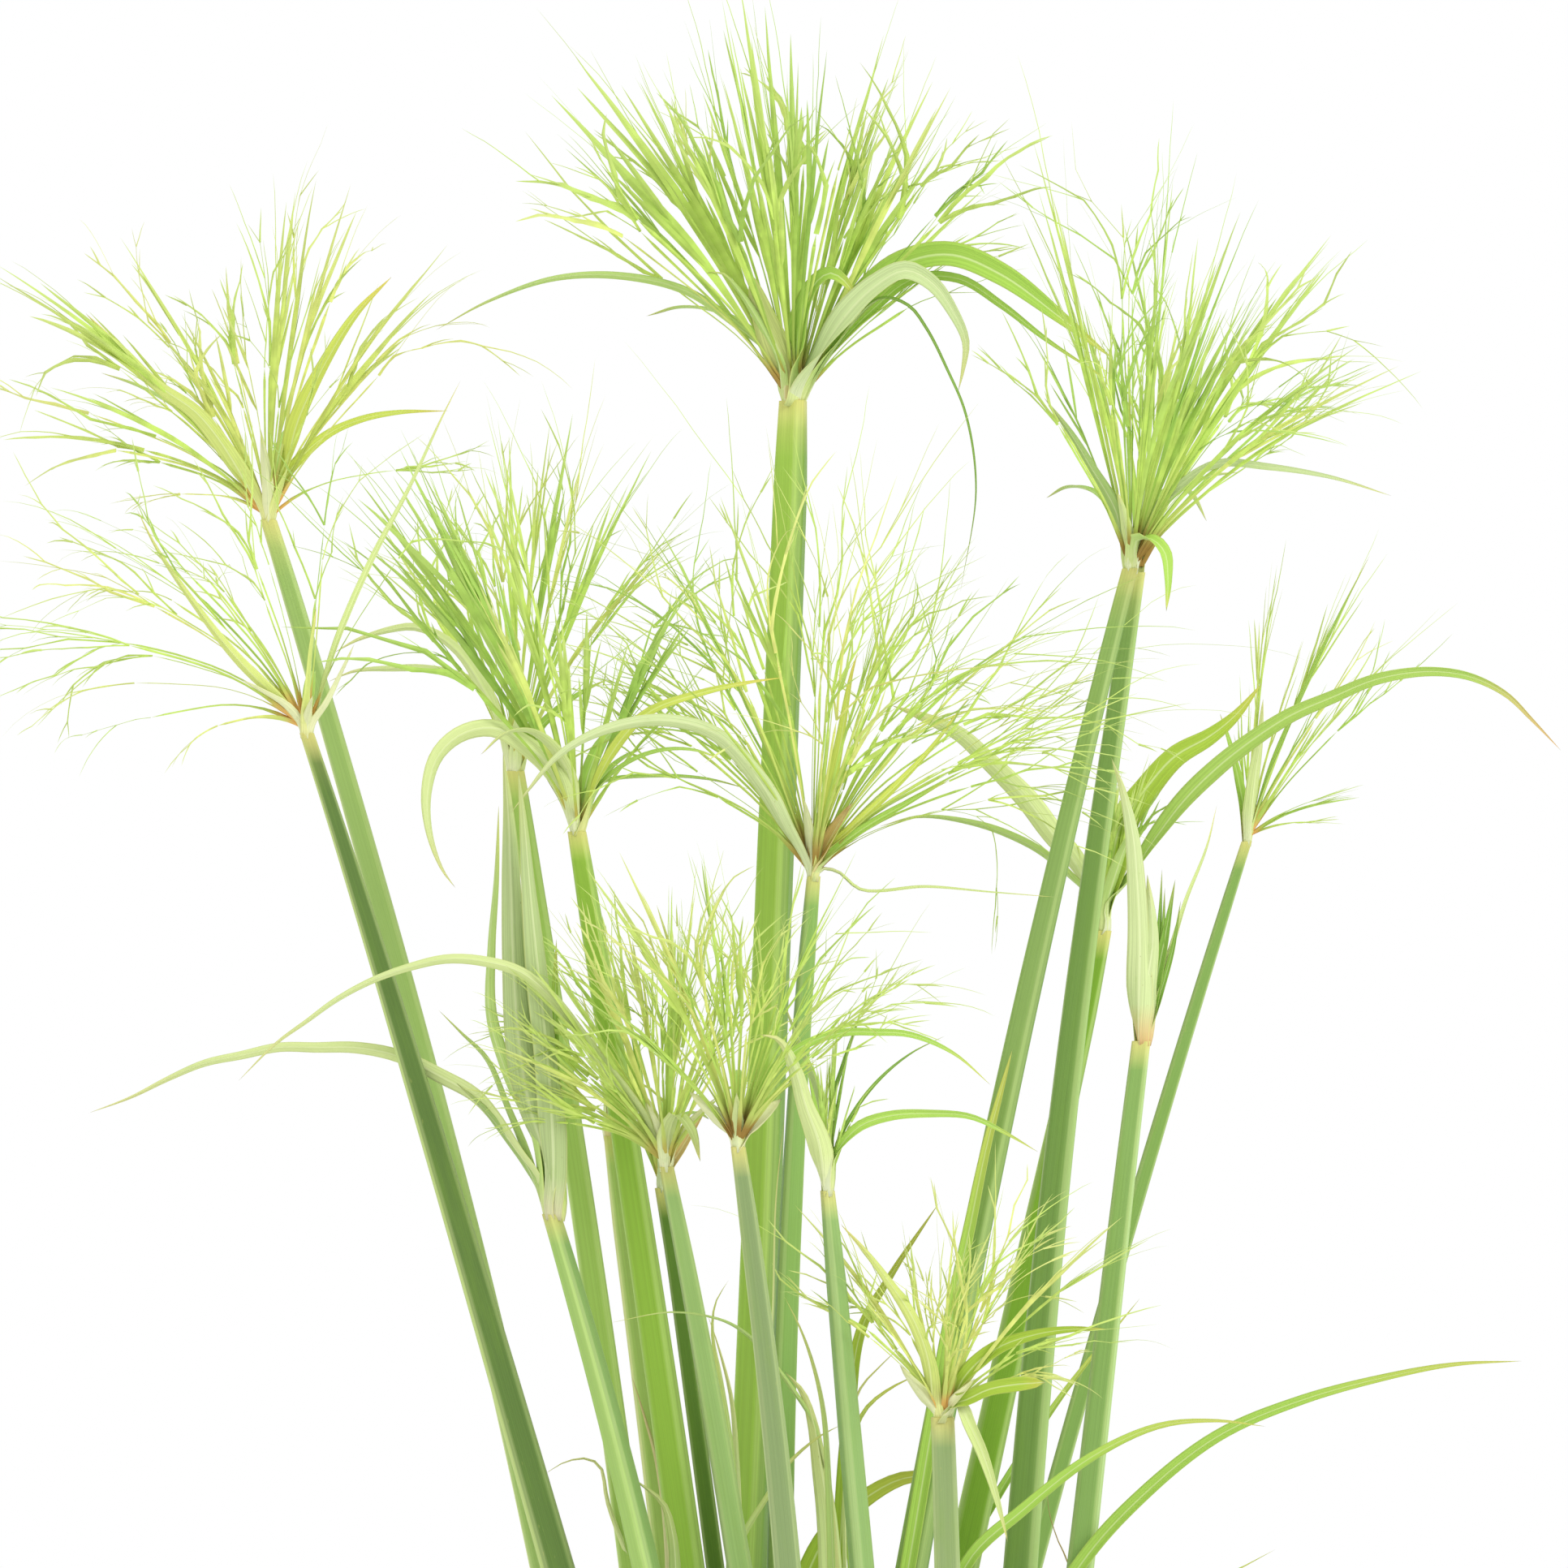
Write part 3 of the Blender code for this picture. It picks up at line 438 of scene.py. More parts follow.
            (-7, 5, 19), (-12, 8, 28), (-23, 11, 34), (-37, 15, 37), (-49, 18, 37), (-64, 22, 36),
            (-74, 25, 32),
        )),
        arched(5, 10, 50, 62, 40, "green", 50),
        arched(6, 90, 84, 60, 72),
        arched(6, 280, 30, 66, 14, "pale"),
    ),
    17: (
        arched(6, 140, 32, 74, 2, "grey", 50),
        arched(6, 10, 34, 60, 2, "dry", 50),
        arched(6, 90, 66, 60, 66),
        arched(5, 255, 22, 72, 8, "grey"),
    ),
    18: (
        arched(4.5, 80, 62, 84, 10, "dry"),
        arched(4.5, 165, 54, 82, 8, "pale"),
        arched(4.5, 230, 40, 84, 6, "dry"),
    ),
}

# Colours at the feet of rays
RAY_FEET = {
    "brown": (172, 142, 74),
    "olive": (188, 176, 88),
    "orange": (222, 176, 100),
    "red": (152, 122, 60),
}

# Plumes by the number of their stem; each band is aside, back, reach, rays and width
PLUMES = {
    1: Plume("orange", 0.5, 0.95, 0.52, 22, 4, (-28, 34, 0, 42), 134, 0.9, (
        (-86, -4, 60, 1, 0.9), (-74, 6, 116, 1, 0.9), (-64, -10, 152, 2, 1.0), (-56, 8, 156, 2, 1.1),
        (-48, -6, 150, 3, 1.2), (-40, 12, 146, 2, 1.1), (-31, -8, 146, 2, 1.0), (-21, 6, 134, 1, 1.0),
        (-9, -8, 128, 1, 1.0), (1, 8, 124, 1, 0.9), (8, -4, 142, 2, 1.1), (25, -4, 148, 1, 1.6),
    )),
    2: Plume("orange", 0.74, 0.6, 0.55, 16, 8, (0, 40, 8, 44), 112, 1.4, (
        (-66, 4, 78, 2, 2.0), (-56, -8, 118, 3, 2.4), (-50, 10, 140, 2, 1.8), (-43, -4, 150, 4, 3.0),
        (-27, 6, 146, 3, 1.8), (-21, -10, 86, 3, 2.6), (-9, 6, 126, 2, 2.4), (-1, -6, 136, 3, 2.2),
        (7, 8, 146, 3, 2.2), (13, -8, 146, 3, 2.6), (29, 4, 118, 3, 3.0), (37, -6, 138, 2, 1.6),
        (62, 6, 88, 1, 1.4),
    )),
    3: Plume("brown", 0.4, 0.45, 0.6, 4, 8, (0, 30, 4, 40), 128, 2.4, (
        (-42, 6, 152, 3, 2.6), (-38, -8, 156, 4, 4.0), (-31, 10, 156, 3, 3.0), (-25, -12, 126, 3, 3.4),
        (-17, 6, 140, 3, 2.4), (-11, 4, 160, 3, 2.6), (-6, -14, 134, 4, 2.8), (-1, 6, 162, 5, 3.4),
        (6, -10, 138, 4, 2.8), (13, 8, 146, 4, 2.8), (21, -8, 132, 4, 3.0), (28, 4, 146, 3, 3.2),
        (34, -10, 158, 3, 2.6), (40, 8, 130, 2, 2.2), (45, -4, 118, 2, 1.6), (52, 4, 96, 1, 1.2),
    )),
    4: Plume("brown", 0.5, 0.95, 0.48, 12, 16, (2, 44, 0, 46), 150, 1.2, (
        (-48, -8, 130, 3, 1.2), (-36, 8, 158, 4, 1.4), (-27, -6, 176, 4, 1.4), (-16, 4, 190, 4, 1.3),
        (-8, -8, 164, 6, 2.2), (2, 6, 176, 5, 1.6), (14, -6, 156, 5, 1.6), (24, 6, 152, 5, 1.5),
        (32, -4, 170, 5, 1.7), (42, 6, 164, 5, 1.7), (48, -6, 166, 5, 1.5), (58, 6, 138, 4, 1.3),
        (14, -12, 84, 4, 2.6),
    )),
    5: Plume("olive", 0.32, 0.22, 0.55, 6, 2, (-2, 28, -10, 30), 98, 2.0, (
        (-34, 4, 152, 3, 2.6), (-30, -8, 158, 4, 3.2), (-27, 4, 162, 3, 2.8), (-20, -6, 160, 2, 2.2),
        (-11, 4, 166, 1, 1.8), (-26, -10, 108, 2, 2.6), (-15, 4, 100, 1, 2.4), (-4, -6, 88, 2, 2.6),
        (5, 6, 92, 2, 2.8), (13, -6, 84, 1, 1.8), (22, 4, 102, 4, 3.4), (28, -6, 96, 1, 1.6),
        (44, 4, 84, 1, 1.2),
    )),
    6: Plume("olive", 0.6, 0.6, 0.5, 12, 14, (-8, 40, -20, 36), 92, 1.2, (
        (-64, 0, 70, 3, 1.4), (-54, -14, 82, 4, 1.6), (-44, 4, 92, 4, 2.0), (-34, -12, 104, 5, 2.2),
        (-22, 4, 112, 5, 2.2), (-10, -12, 112, 5, 2.0), (2, 4, 104, 5, 1.9), (16, -10, 96, 3, 1.3),
        (30, 0, 78, 2, 1.2),
    )),
    7: Plume("red", 0.6, 0.75, 0.48, 10, 16, (4, 36, -22, 36), 100, 1.2, (
        (-38, -10, 92, 3, 1.3), (-26, 2, 118, 5, 2.0), (-14, -14, 122, 4, 1.9), (-4, 2, 112, 4, 1.9),
        (6, -12, 108, 4, 1.7), (18, 2, 118, 4, 1.5), (30, -12, 124, 3, 1.4), (42, 2, 104, 3, 1.4),
    )),
    8: Plume("olive", 0.3, 0.1, 0.5, 2, 4, (4, 14, -8, 14), 44, 1.4, (
        (-6, -6, 52, 3, 1.8), (6, 4, 62, 3, 1.8),
    )),
    9: Plume("orange", 0.8, 0.8, 0.45, 14, 8, (0, 40, -16, 36), 66, 1.3, (
        (-38, -8, 98, 4, 2.0), (-30, 6, 78, 3, 1.4), (-12, -6, 72, 3, 1.4), (4, 4, 84, 3, 1.6),
        (14, -8, 108, 3, 1.8), (22, 4, 96, 3, 1.6), (46, -8, 104, 3, 1.6), (60, 4, 62, 3, 1.4),
    )),
    10: Plume("red", 0.36, 0.62, 0.55, 12, 8, (14, 32, -16, 30), 130, 1.8, (
        (-22, -6, 116, 2, 1.4), (-14, 6, 150, 2, 1.3), (-5, -8, 172, 3, 1.6), (3, 4, 178, 2, 1.4),
        (-3, -6, 110, 3, 2.4), (8, 4, 106, 4, 2.6), (12, -10, 158, 3, 2.2), (20, 4, 120, 4, 2.6),
        (27, -8, 150, 4, 2.8), (35, 4, 146, 3, 2.6), (43, -10, 124, 3, 2.4), (52, 2, 146, 2, 1.6),
    )),
    11: Plume("red", 0.4, 0.5, 0.55, 10, 6, (4, 28, 22, 24), 120, 1.6, (
        (-10, 18, 136, 2, 1.6), (2, 22, 146, 3, 1.8), (14, 16, 140, 3, 1.8), (26, 22, 134, 3, 2.0),
        (38, 16, 126, 2, 1.8),
    )),
    12: Plume("olive", 0.3, 0.2, 0.5, 2, 6, (8, 14, 6, 14), 54, 1.4, (
        (2, -2, 62, 3, 1.8), (14, 6, 70, 4, 1.8),
    )),
    14: Plume("orange", 0.5, 0.2, 0.55, 3, 3, (16, 30, 8, 30), 84, 0.8, (
        (-4, 4, 66, 1, 1.0), (6, -4, 118, 2, 0.9), (18, 6, 96, 1, 0.8), (27, -4, 118, 3, 1.4),
        (44, 4, 126, 2, 0.8), (72, -4, 52, 2, 0.9), (86, 2, 44, 1, 0.8),
    )),
    16: Plume("olive", 0.46, 0.62, 0.52, 14, 4, (0, 32, 14, 34), 122, 1.8, (
        (-30, 4, 128, 1, 1.6), (-19, 8, 142, 2, 2.0), (-10, 10, 136, 2, 2.0), (-3, -4, 150, 3, 1.8),
        (6, 8, 140, 2, 2.0), (13, -4, 148, 3, 2.2), (21, 10, 144, 3, 2.0), (30, -4, 138, 2, 1.5),
        (38, 6, 132, 2, 1.3),
    )),
    17: Plume("olive", 0.5, 0.4, 0.5, 4, 8, (-4, 26, 16, 26), 70, 1.2, (
        (-14, 14, 84, 3, 1.4), (2, 20, 82, 3, 1.4), (14, 12, 76, 3, 1.4),
    )),
}

# Leaves rise from the soil: steps are from the leaf's foot
LEAVES = {
    1: Blade("leaf", 6.5, 75, (
        (8, -3, 80), (28, -9, 160), (66, -22, 235), (90, -30, 263), (118, -38, 286), (148, -48, 300),
        (177, -57, 309), (204, -66, 315), (229, -75, 317),
    ), 4),
    2: Blade("leaf", 6, 75, (
        (3, 0, 80), (8, -1, 160), (20, -3, 238), (42, -6, 260), (69, -10, 281), (93, -13, 292),
        (114, -16, 294), (132, -18, 292),
    ), 4),
    3: Blade("olive", 9.5, 80, (
        (-8, 0, 100), (-10, 0, 190), (2, 0, 232), (18, 0, 250), (39, 0, 260), (56, 0, 254),
    ), 10),
    4: Blade("green", 5, 75, ((16, 0, 90), (44, 0, 170), (84, 0, 236), (118, 0, 290), (150, 0, 330)), 4),
    5: Blade("olive", 6.6, 80, (
        (4, 0, 120), (7, 0, 220), (11, 0, 285), (16, 0, 321), (28, 0, 343), (46, 0, 370),
    ), 5),
    6: Blade("striped", 12, 80, (
        (-2, 0, 120), (-8, -1, 200), (-11, -2, 250), (-14, -8, 271), (-17, -14, 289), (-21, -18, 301),
        (-28, -20, 309),
    ), 5),
}

# Small leaves: the way of each from the pot's axis. They start in the soil, and one on a leaf
SMALL_LEAVES = (
    Blade("pale", 3.2, 75, (
        (-38, 24, 143), (-44, 14, 290), (-74, 6, 375), (-77, 4, 389), (-82, 2, 392), (-90, 0, 391),
        (-99, -4, 386),
    ), 4),
    Blade("green", 5, 75, (
        (-12, -30, 143), (-20, -34, 280), (-26, -40, 398), (-30, -42, 426), (-33, -44, 443),
        (-32, -46, 455), (-27, -48, 464),
    ), 4),
    Blade("pale", 4.2, 75, (
        (-16, -22, 143), (-22, -26, 280), (-24, -30, 394), (-26, -32, 418), (-31, -34, 438),
        (-35, -36, 450),
    ), 4),
    Blade("pale", 1.8, 80, (
        (4, -62, 143), (-2, -72, 300), (-11, -84, 429), (-10, -90, 460), (-9, -96, 497), (-6, -100, 527),
    ), 5),
    Blade("bright", 4.6, 75, (
        (18, -44, 143), (14, -52, 290), (11, -60, 388), (9, -66, 416), (5, -70, 434), (0, -74, 448),
        (-6, -78, 460),
    ), 4),
    Blade("dark", 8, 70, (
        (-36, -56, 143), (-46, -60, 270), (-47, -66, 359), (-48, -70, 370), (-51, -72, 381),
        (-57, -74, 387), (-64, -76, 392),
    ), 4),
    Blade("striped", 4.6, 75, (
        (-30, -44, 143), (-34, -46, 270), (-26, -48, 354), (-21, -50, 368), (-13, -50, 381),
        (-5, -52, 394), (7, -54, 405), (16, -56, 410),
    ), 4),
    Blade("dry", 3, 60, (
        (62, 8, 143), (82, 6, 260), (104, 2, 349), (99, 0, 362), (96, -2, 372), (95, -4, 382),
    )),
    Blade("green", 6.4, 80, (
        (30, -58, 143), (24, -62, 290), (19, -66, 382), (20, -68, 405), (25, -70, 417), (33, -70, 424),
        (44, -72, 430),
    ), 4),
    Blade("pale", 3.6, 75, (
        (26, -46, 143), (20, -50, 290), (17, -54, 381), (19, -56, 412), (23, -58, 424), (30, -60, 432),
        (38, -62, 440),
    ), 4),
    Blade("leaf", 2.4, 70, (
        (70, -30, 143), (110, -40, 240), (140, -50, 300), (155, -60, 350), (167, -64, 357),
        (179, -68, 364),
    ), 4),
    Blade("husk", 5, 70, (
        (-40, -20, 143), (-48, -24, 270), (-50, -28, 360), (-52, -30, 380), (-55, -32, 397),
        (-59, -34, 411), (-64, -36, 427),
    ), 3),
    Blade("green", 2, 70, (
        (10, -28, 391), (5, -34, 409), (-4, -42, 424), (-12, -52, 435), (-21, -72, 446), (-33, -92, 453),
        (-48, -94, 455), (-71, -94, 451),
    )),
    Blade("leaf", 6, 90, (
        (8, -14, 143), (23, -20, 240), (41, -25, 350), (58, -30, 450), (65, -31, 484), (71, -32, 513),
        (78, -33, 540), (81, -34, 551),
    ), 9),
)


# Meshes


class Form:
    """Gathers the points, faces and point values of one piece."""

    def __init__(self):
        self.points = []
        self.quads = []
        self.quad_spots = []
        self.ends = []
        self.end_spots = []
        self.values = {"along": [], "across": [], "tone": []}
        self.tints = []
        self.count = 0
        self.strands = 0

    def add_points(self, points, along, across, tone, tint):
        """Adds points with their values, and gives the number of the first."""
        first = self.count
        size = len(points)
        self.points.append(points)
        for label, value in (("along", along), ("across", across), ("tone", tone)):
            self.values[label].append(np.broadcast_to(value, size))
        self.tints.append(np.broadcast_to(tint, (size, 3)))
        self.count += size
        return first

    def loft(self, rings, along, across, tone, tint, tip=None):
        """Closes a strand over rings of points; across runs once around each ring.

        rings is (rings, points, 3), along one value a ring, across one a point and
        tint one colour a ring, or one a point of each ring.
        """
        count, sides = rings.shape[:2]
        tint = np.asarray(tint, float)
        if tint.ndim == 2:
            tint = np.repeat(tint[:, None], sides, axis=1)
        values = (np.repeat(along, sides), np.tile(across, count), tone)
        first = self.add_points(rings.reshape(-1, 3), *values, tint.reshape(-1, 3))
        numbers = first + np.arange(count * sides).reshape(count, sides)
        after = np.roll(numbers, -1, axis=1)
        quads = np.stack((numbers[:-1], after[:-1], after[1:], numbers[1:]), axis=-1)
        self.quads.append(quads.reshape(-1, 4))
        spots = np.empty((count, sides + 1, 2))
        spots[..., 0] = np.asarray(along)[:, None]
        spots[..., 1] = self.row(tone, np.arange(sides + 1) / sides)
        corners = (spots[:-1, :-1], spots[:-1, 1:], spots[1:, 1:], spots[1:, :-1])
        self.quad_spots.append(np.stack(corners, axis=-2).reshape(-1, 2))
        self.close(rings[0].mean(axis=0), numbers[0], spots[0], along[0], tone, tint[0], True)
        end = rings[-1].mean(axis=0) if tip is None else tip
        last = 1.0 if tip is not None else along[-1]
        self.close(end, numbers[-1], spots[-1], last, tone, tint[-1], False)
        self.strands += 1

    def row(self, tone, around):
        """Where a strand's colours lie in the piece's atlas."""
        return self.strands + around

    def close(self, centre, ring, spots, along, tone, tint, flipped):
        """A fan of triangles from a ring to one point."""
        number = self.add_points(np.array([centre]), along, 0.0, tone, tint.mean(axis=0))
        after = np.roll(ring, -1)
        one, two = (after, ring) if flipped else (ring, after)
        one_spot, two_spot = (spots[1:], spots[:-1]) if flipped else (spots[:-1], spots[1:])
        middle = (one_spot + two_spot) / 2
        middle[:, 0] = along
        self.ends.append(np.stack((one, two, np.full(len(ring), number)), axis=-1))
        self.end_spots.append(np.stack((one_spot, two_spot, middle), axis=-2).reshape(-1, 2))

    def mesh(self, name, rows=None):
        """The gathered mesh in metres, with its values and its atlas."""
        mesh = bpy.data.meshes.new(name)
        points = np.concatenate(self.points) * MM
        quads = np.concatenate(self.quads)
        ends = np.concatenate(self.ends)
        corners = np.concatenate((quads.ravel(), ends.ravel()))
        starts = (np.arange(len(quads)) * 4, len(quads) * 4 + np.arange(len(ends)) * 3)
        starts = np.concatenate(starts)
        mesh.vertices.add(len(points))
        mesh.vertices.foreach_set("co", points.ravel())
        mesh.loops.add(len(corners))
        mesh.loops.foreach_set("vertex_index", corners.astype(np.int32))
        mesh.polygons.add(len(starts))
        mesh.polygons.foreach_set("loop_start", starts.astype(np.int32))
        mesh.update(calc_edges=True)
        for label, parts in self.values.items():
            layer = mesh.attributes.new(label, "FLOAT", "POINT")
            layer.data.foreach_set("value", np.concatenate(parts).astype(np.float32))
        tints = np.ones((len(points), 4), np.float32)
        tints[:, :3] = np.concatenate(self.tints)
        layer = mesh.attributes.new("tint", "FLOAT_COLOR", "POINT")
        layer.data.foreach_set("color", tints.ravel())
        spots = np.concatenate(self.quad_spots + self.end_spots)
        spots[:, 1] /= rows or self.strands
        atlas = mesh.uv_layers.new(name="OFBake")
        atlas.data.foreach_set("uv", spots.astype(np.float32).ravel())
        mesh.shade_smooth()
        return mesh


class ThreadForm(Form):
    """A form whose colours depend only on along and tone, so strands share the atlas."""

    def row(self, tone, around):
        return np.full(len(around), 0.02 + 0.96 * tone)


def unit(vectors):
    return vectors / np.linalg.norm(vectors, axis=-1, keepdims=True)


def circle(radius, z, sides):
    """Points around the upright axis, at one radius or at one for each point."""
    around = np.arange(sides) * 2 * math.pi / sides
    return np.stack((radius * np.cos(around), radius * np.sin(around), np.full(sides, z)), axis=1)


def gaps(points):
    """The distance from each point of a line to the next."""
    return np.linalg.norm(np.diff(points, axis=0), axis=1)


def evenly(points, count):
    """This many points, evenly spaced along a line."""
    run = np.concatenate(([0], np.cumsum(gaps(points))))
    marks = np.linspace(0, run[-1], count)
    return np.stack([np.interp(marks, run, points[:, axis]) for axis in range(3)], axis=1)


def line_length(points):
    return gaps(points).sum()


def smooth_line(points, step):
    """Evenly spaced points on a smooth curve through the given ones."""
    points = np.asarray(points, float)
    knots = np.concatenate(([0], np.cumsum(gaps(points) ** 0.6)))
    slopes = np.gradient(points, knots, axis=0)
    marks = np.linspace(0, knots[-1], 24 * len(points))[:-1]
    at = np.searchsorted(knots, marks, side="right") - 1
    span = (knots[at + 1] - knots[at])[:, None]
    share = (marks[:, None] - knots[at][:, None]) / span
    line = (
        (1 + 2 * share) * (1 - share) ** 2 * points[at]
        + share * (1 - share) ** 2 * span * slopes[at]
        + share**2 * (3 - 2 * share) * points[at + 1]
        + share**2 * (share - 1) * span * slopes[at + 1]
    )
    line = np.concatenate((line, points[-1:]))
    return evenly(line, max(8, round(line_length(line) / step)))


def ahead_of(line):
    return unit(np.gradient(line, axis=0))


def colour(*levels):
    """A colour in 0 to 255 as linear shares."""
    shares = np.array(levels) / 255
    return np.where(shares <= 0.04045, shares / 12.92, ((shares + 0.055) / 1.055) ** 2.4)


def ramp(shares, stops):
    """Colours between stops, each a share and a colour in 0 to 255."""
    marks = [at for at, _ in stops]
    shades = np.array([colour(*shade) for _, shade in stops])
    return np.stack([np.interp(shares, marks, shades[:, i]) for i in range(3)], axis=-1)


# Node materials


class Paint:
    """A material's nodes, added one by one around its Principled shader."""

    def __init__(self, name, roughness, specular=0.4):
        self.material = bpy.data.materials.new(name)
        self.material.use_nodes = True
        self.tree = self.material.node_tree
        self.shader = self.tree.nodes["Principled BSDF"]
        self.shader.inputs["Roughness"].default_value = roughness
        self.shader.inputs["Specular IOR Level"].default_value = specular

    def fill(self, socket, value):
        if isinstance(value, bpy.types.NodeSocket):
            self.tree.links.new(value, socket)
        else:
            socket.default_value = value

    def add(self, kind, inputs, output=0, **settings):
        node = self.tree.nodes.new(kind)
        for key, value in settings.items():
            setattr(node, key, value)
        for key, value in inputs.items():
            self.fill(node.inputs[key], value)
        return node.outputs[output]

    def values(self, *names):
        """The point values of these names."""
        kind = "ShaderNodeAttribute"
        return [self.add(kind, {}, "Fac", attribute_name=name) for name in names]

    def tint(self):
        return self.add("ShaderNodeAttribute", {}, "Color", attribute_name="tint")

    def place(self):
        """The place in the piece, in metres."""
        return self.add("ShaderNodeTexCoord", {}, "Object")

    def math(self, operation, *values):
        return self.add("ShaderNodeMath", dict(enumerate(values)), operation=operation)

    def times(self, value, factor):
        return self.math("MULTIPLY", value, factor)

    def spot(self, along, across, tone):
        """A place in a texture that follows the strand."""
        return self.add("ShaderNodeCombineXYZ", {0: along, 1: across, 2: tone})

    def noise(self, place, scale, detail=3.0, rough=0.55):
        inputs = {"Vector": place, "Scale": scale, "Detail": detail, "Roughness": rough}
        return self.add("ShaderNodeTexNoise", inputs)

    def spread(self, value, low, high, to_low=0.0, to_high=1.0):
        inputs = {"Value": value, 1: low, 2: high, 3: to_low, 4: to_high}
        return self.add("ShaderNodeMapRange", inputs, interpolation_type="SMOOTHSTEP")

    def mix(self, share, one, other, kind="MIX"):
        inputs = {0: share, 6: one, 7: other}
        return self.add("ShaderNodeMix", inputs, 2, data_type="RGBA", blend_type=kind)

    def patched(self, base, value, low, high, share, *levels):
        """The base with a colour over it where the value is high, up to this share."""
        return self.mix(self.spread(value, low, high, 0.0, share), base, rgba(*levels))

    def shaded(self, base, value, low, high, dark, light):
        """The base made darker where the value is low and lighter where it is high."""
        return self.mix(1.0, base, self.grey(self.spread(value, low, high, dark, light)), "MULTIPLY")

    def grey(self, value):
        return self.add("ShaderNodeCombineColor", {0: value, 1: value, 2: value})

    def scaled(self, place, x, y, z):
        return self.add("ShaderNodeMapping", {"Vector": place, "Scale": (x, y, z)})

    def bump(self, height, strength, depth):
        inputs = {"Height": height, "Strength": strength, "Distance": depth}
        return self.add("ShaderNodeBump", inputs)

    def finish(self, base, roughness=None, normal=None):
        self.fill(self.shader.inputs["Base Color"], base)
        if roughness is not None:
            self.fill(self.shader.inputs["Roughness"], roughness)
        if normal is not None:
            self.fill(self.shader.inputs["Normal"], normal)
        return self.material


def rgba(*levels):
    return (*colour(*levels), 1)


def stem_paint():
    """Satin green with fine lengthwise lines and soft patches."""
    paint = Paint("stem_green", 0.46, 0.18)
    along, across, tone = paint.values("along", "across", "tone")
    round_way = paint.math("SINE", paint.times(across, 2 * math.pi))
    other_way = paint.math("COSINE", paint.times(across, 2 * math.pi))
    place = paint.spot(round_way, other_way, paint.math("ADD", along, tone))
    lines = paint.noise(paint.scaled(place, 9, 9, 1.2), 2.0, 4.0, 0.7)
    patches = paint.noise(paint.scaled(place, 0.8, 0.8, 14), 1.0, 3.0)
    base = paint.shaded(paint.tint(), lines, 0.3, 0.7, 0.9, 1.1)
    base = paint.patched(base, patches, 0.45, 0.75, 0.18, 132, 168, 62)
    fleck = paint.noise(paint.scaled(place, 3, 3, 70), 1.6, 1.0)
    base = paint.patched(base, fleck, 0.74, 0.82, 0.16, 196, 196, 110)
    roughness = paint.spread(patches, 0.3, 0.7, 0.4, 0.54)
    return paint.finish(base, roughness, paint.bump(lines, 0.5, 0.0003))


def blade_paint(name):
    """A leaf's face: fine veins, a pale keel, thin margins and brown specks."""
    paint = Paint(name, 0.5, 0.2)
    along, across, tone = paint.values("along", "across", "tone")
    place = paint.spot(paint.times(along, 1.6), paint.times(across, 13.0), paint.times(tone, 40.0))
    veins = paint.noise(place, 1.0, 2.5, 0.6)
    patches = paint.noise(paint.spot(paint.times(along, 9.0), across, tone), 1.6, 3.0)
    out = paint.math("ABSOLUTE", across)
    base = paint.shaded(paint.tint(), veins, 0.35, 0.7, 0.9, 1.14)
    base = paint.patched(base, patches, 0.55, 0.8, 0.22, 146, 184, 72)
    keel = paint.spread(out, 0.0, 0.16, 0.5, 0.0)
    base = paint.mix(keel, base, rgba(228, 236, 184))
    base = paint.patched(base, out, 0.88, 1.0, 0.4, 214, 216, 130)
    speck = paint.spot(paint.times(along, 60.0), paint.times(across, 5.0), tone)
    freckles = paint.noise(speck, 1.0, 1.0)
    base = paint.patched(base, freckles, 0.76, 0.82, 0.6, 128, 100, 44)
    roughness = paint.spread(patches, 0.3, 0.7, 0.44, 0.58)
    return paint.finish(base, roughness, paint.bump(veins, 0.6, 0.0003))


def ray_paint():
    """Brown at the foot, green along the ray and yellow-green at the tips."""
    paint = Paint("ray_green", 0.6, 0.1)
    along, tone = paint.values("along", "tone")
    place = paint.spot(paint.times(along, 14.0), paint.times(tone, 60.0), 0.0)
    streaks = paint.noise(place, 1.0, 2.0)
    green = paint.mix(paint.spread(tone, 0.0, 0.45), rgba(152, 188, 86), rgba(186, 212, 102))
    green = paint.mix(paint.spread(tone, 0.45, 1.0), green, rgba(214, 218, 124))
    green = paint.shaded(green, streaks, 0.3, 0.7, 0.88, 1.18)
    tip = paint.mix(tone, rgba(176, 204, 108), rgba(206, 214, 136))
    base = paint.mix(paint.spread(along, 0.5, 1.0, 0.0, 0.8), green, tip)
    low = paint.mix(tone, rgba(162, 194, 84), rgba(200, 208, 116))
    base = paint.mix(paint.spread(along, 0.12, 0.42), low, base)
    base = paint.mix(paint.spread(along, 0.05, 0.15), paint.tint(), base)
    return paint.finish(base, None, paint.bump(streaks, 0.2, 0.0002))


def pot_paint():
    """Dark moulded plastic with fine scuffs and patches of dust."""
    paint = Paint("pot_plastic", 0.4)
    place = paint.place()
    grain = paint.noise(place, 900.0, 2.0)
    scuffs = paint.noise(paint.scaled(place, 30, 30, 220), 1.0, 5.0, 0.7)
    dust = paint.noise(place, 24.0, 5.0, 0.6)
    base = paint.mix(paint.spread(dust, 0.4, 0.75), rgba(58, 58, 56), rgba(84, 80, 72))
    base = paint.patched(base, scuffs, 0.62, 0.75, 0.5, 120, 116, 108)
    roughness = paint.spread(dust, 0.35, 0.7, 0.36, 0.6)
    return paint.finish(base, roughness, paint.bump(grain, 0.25, 0.0002))


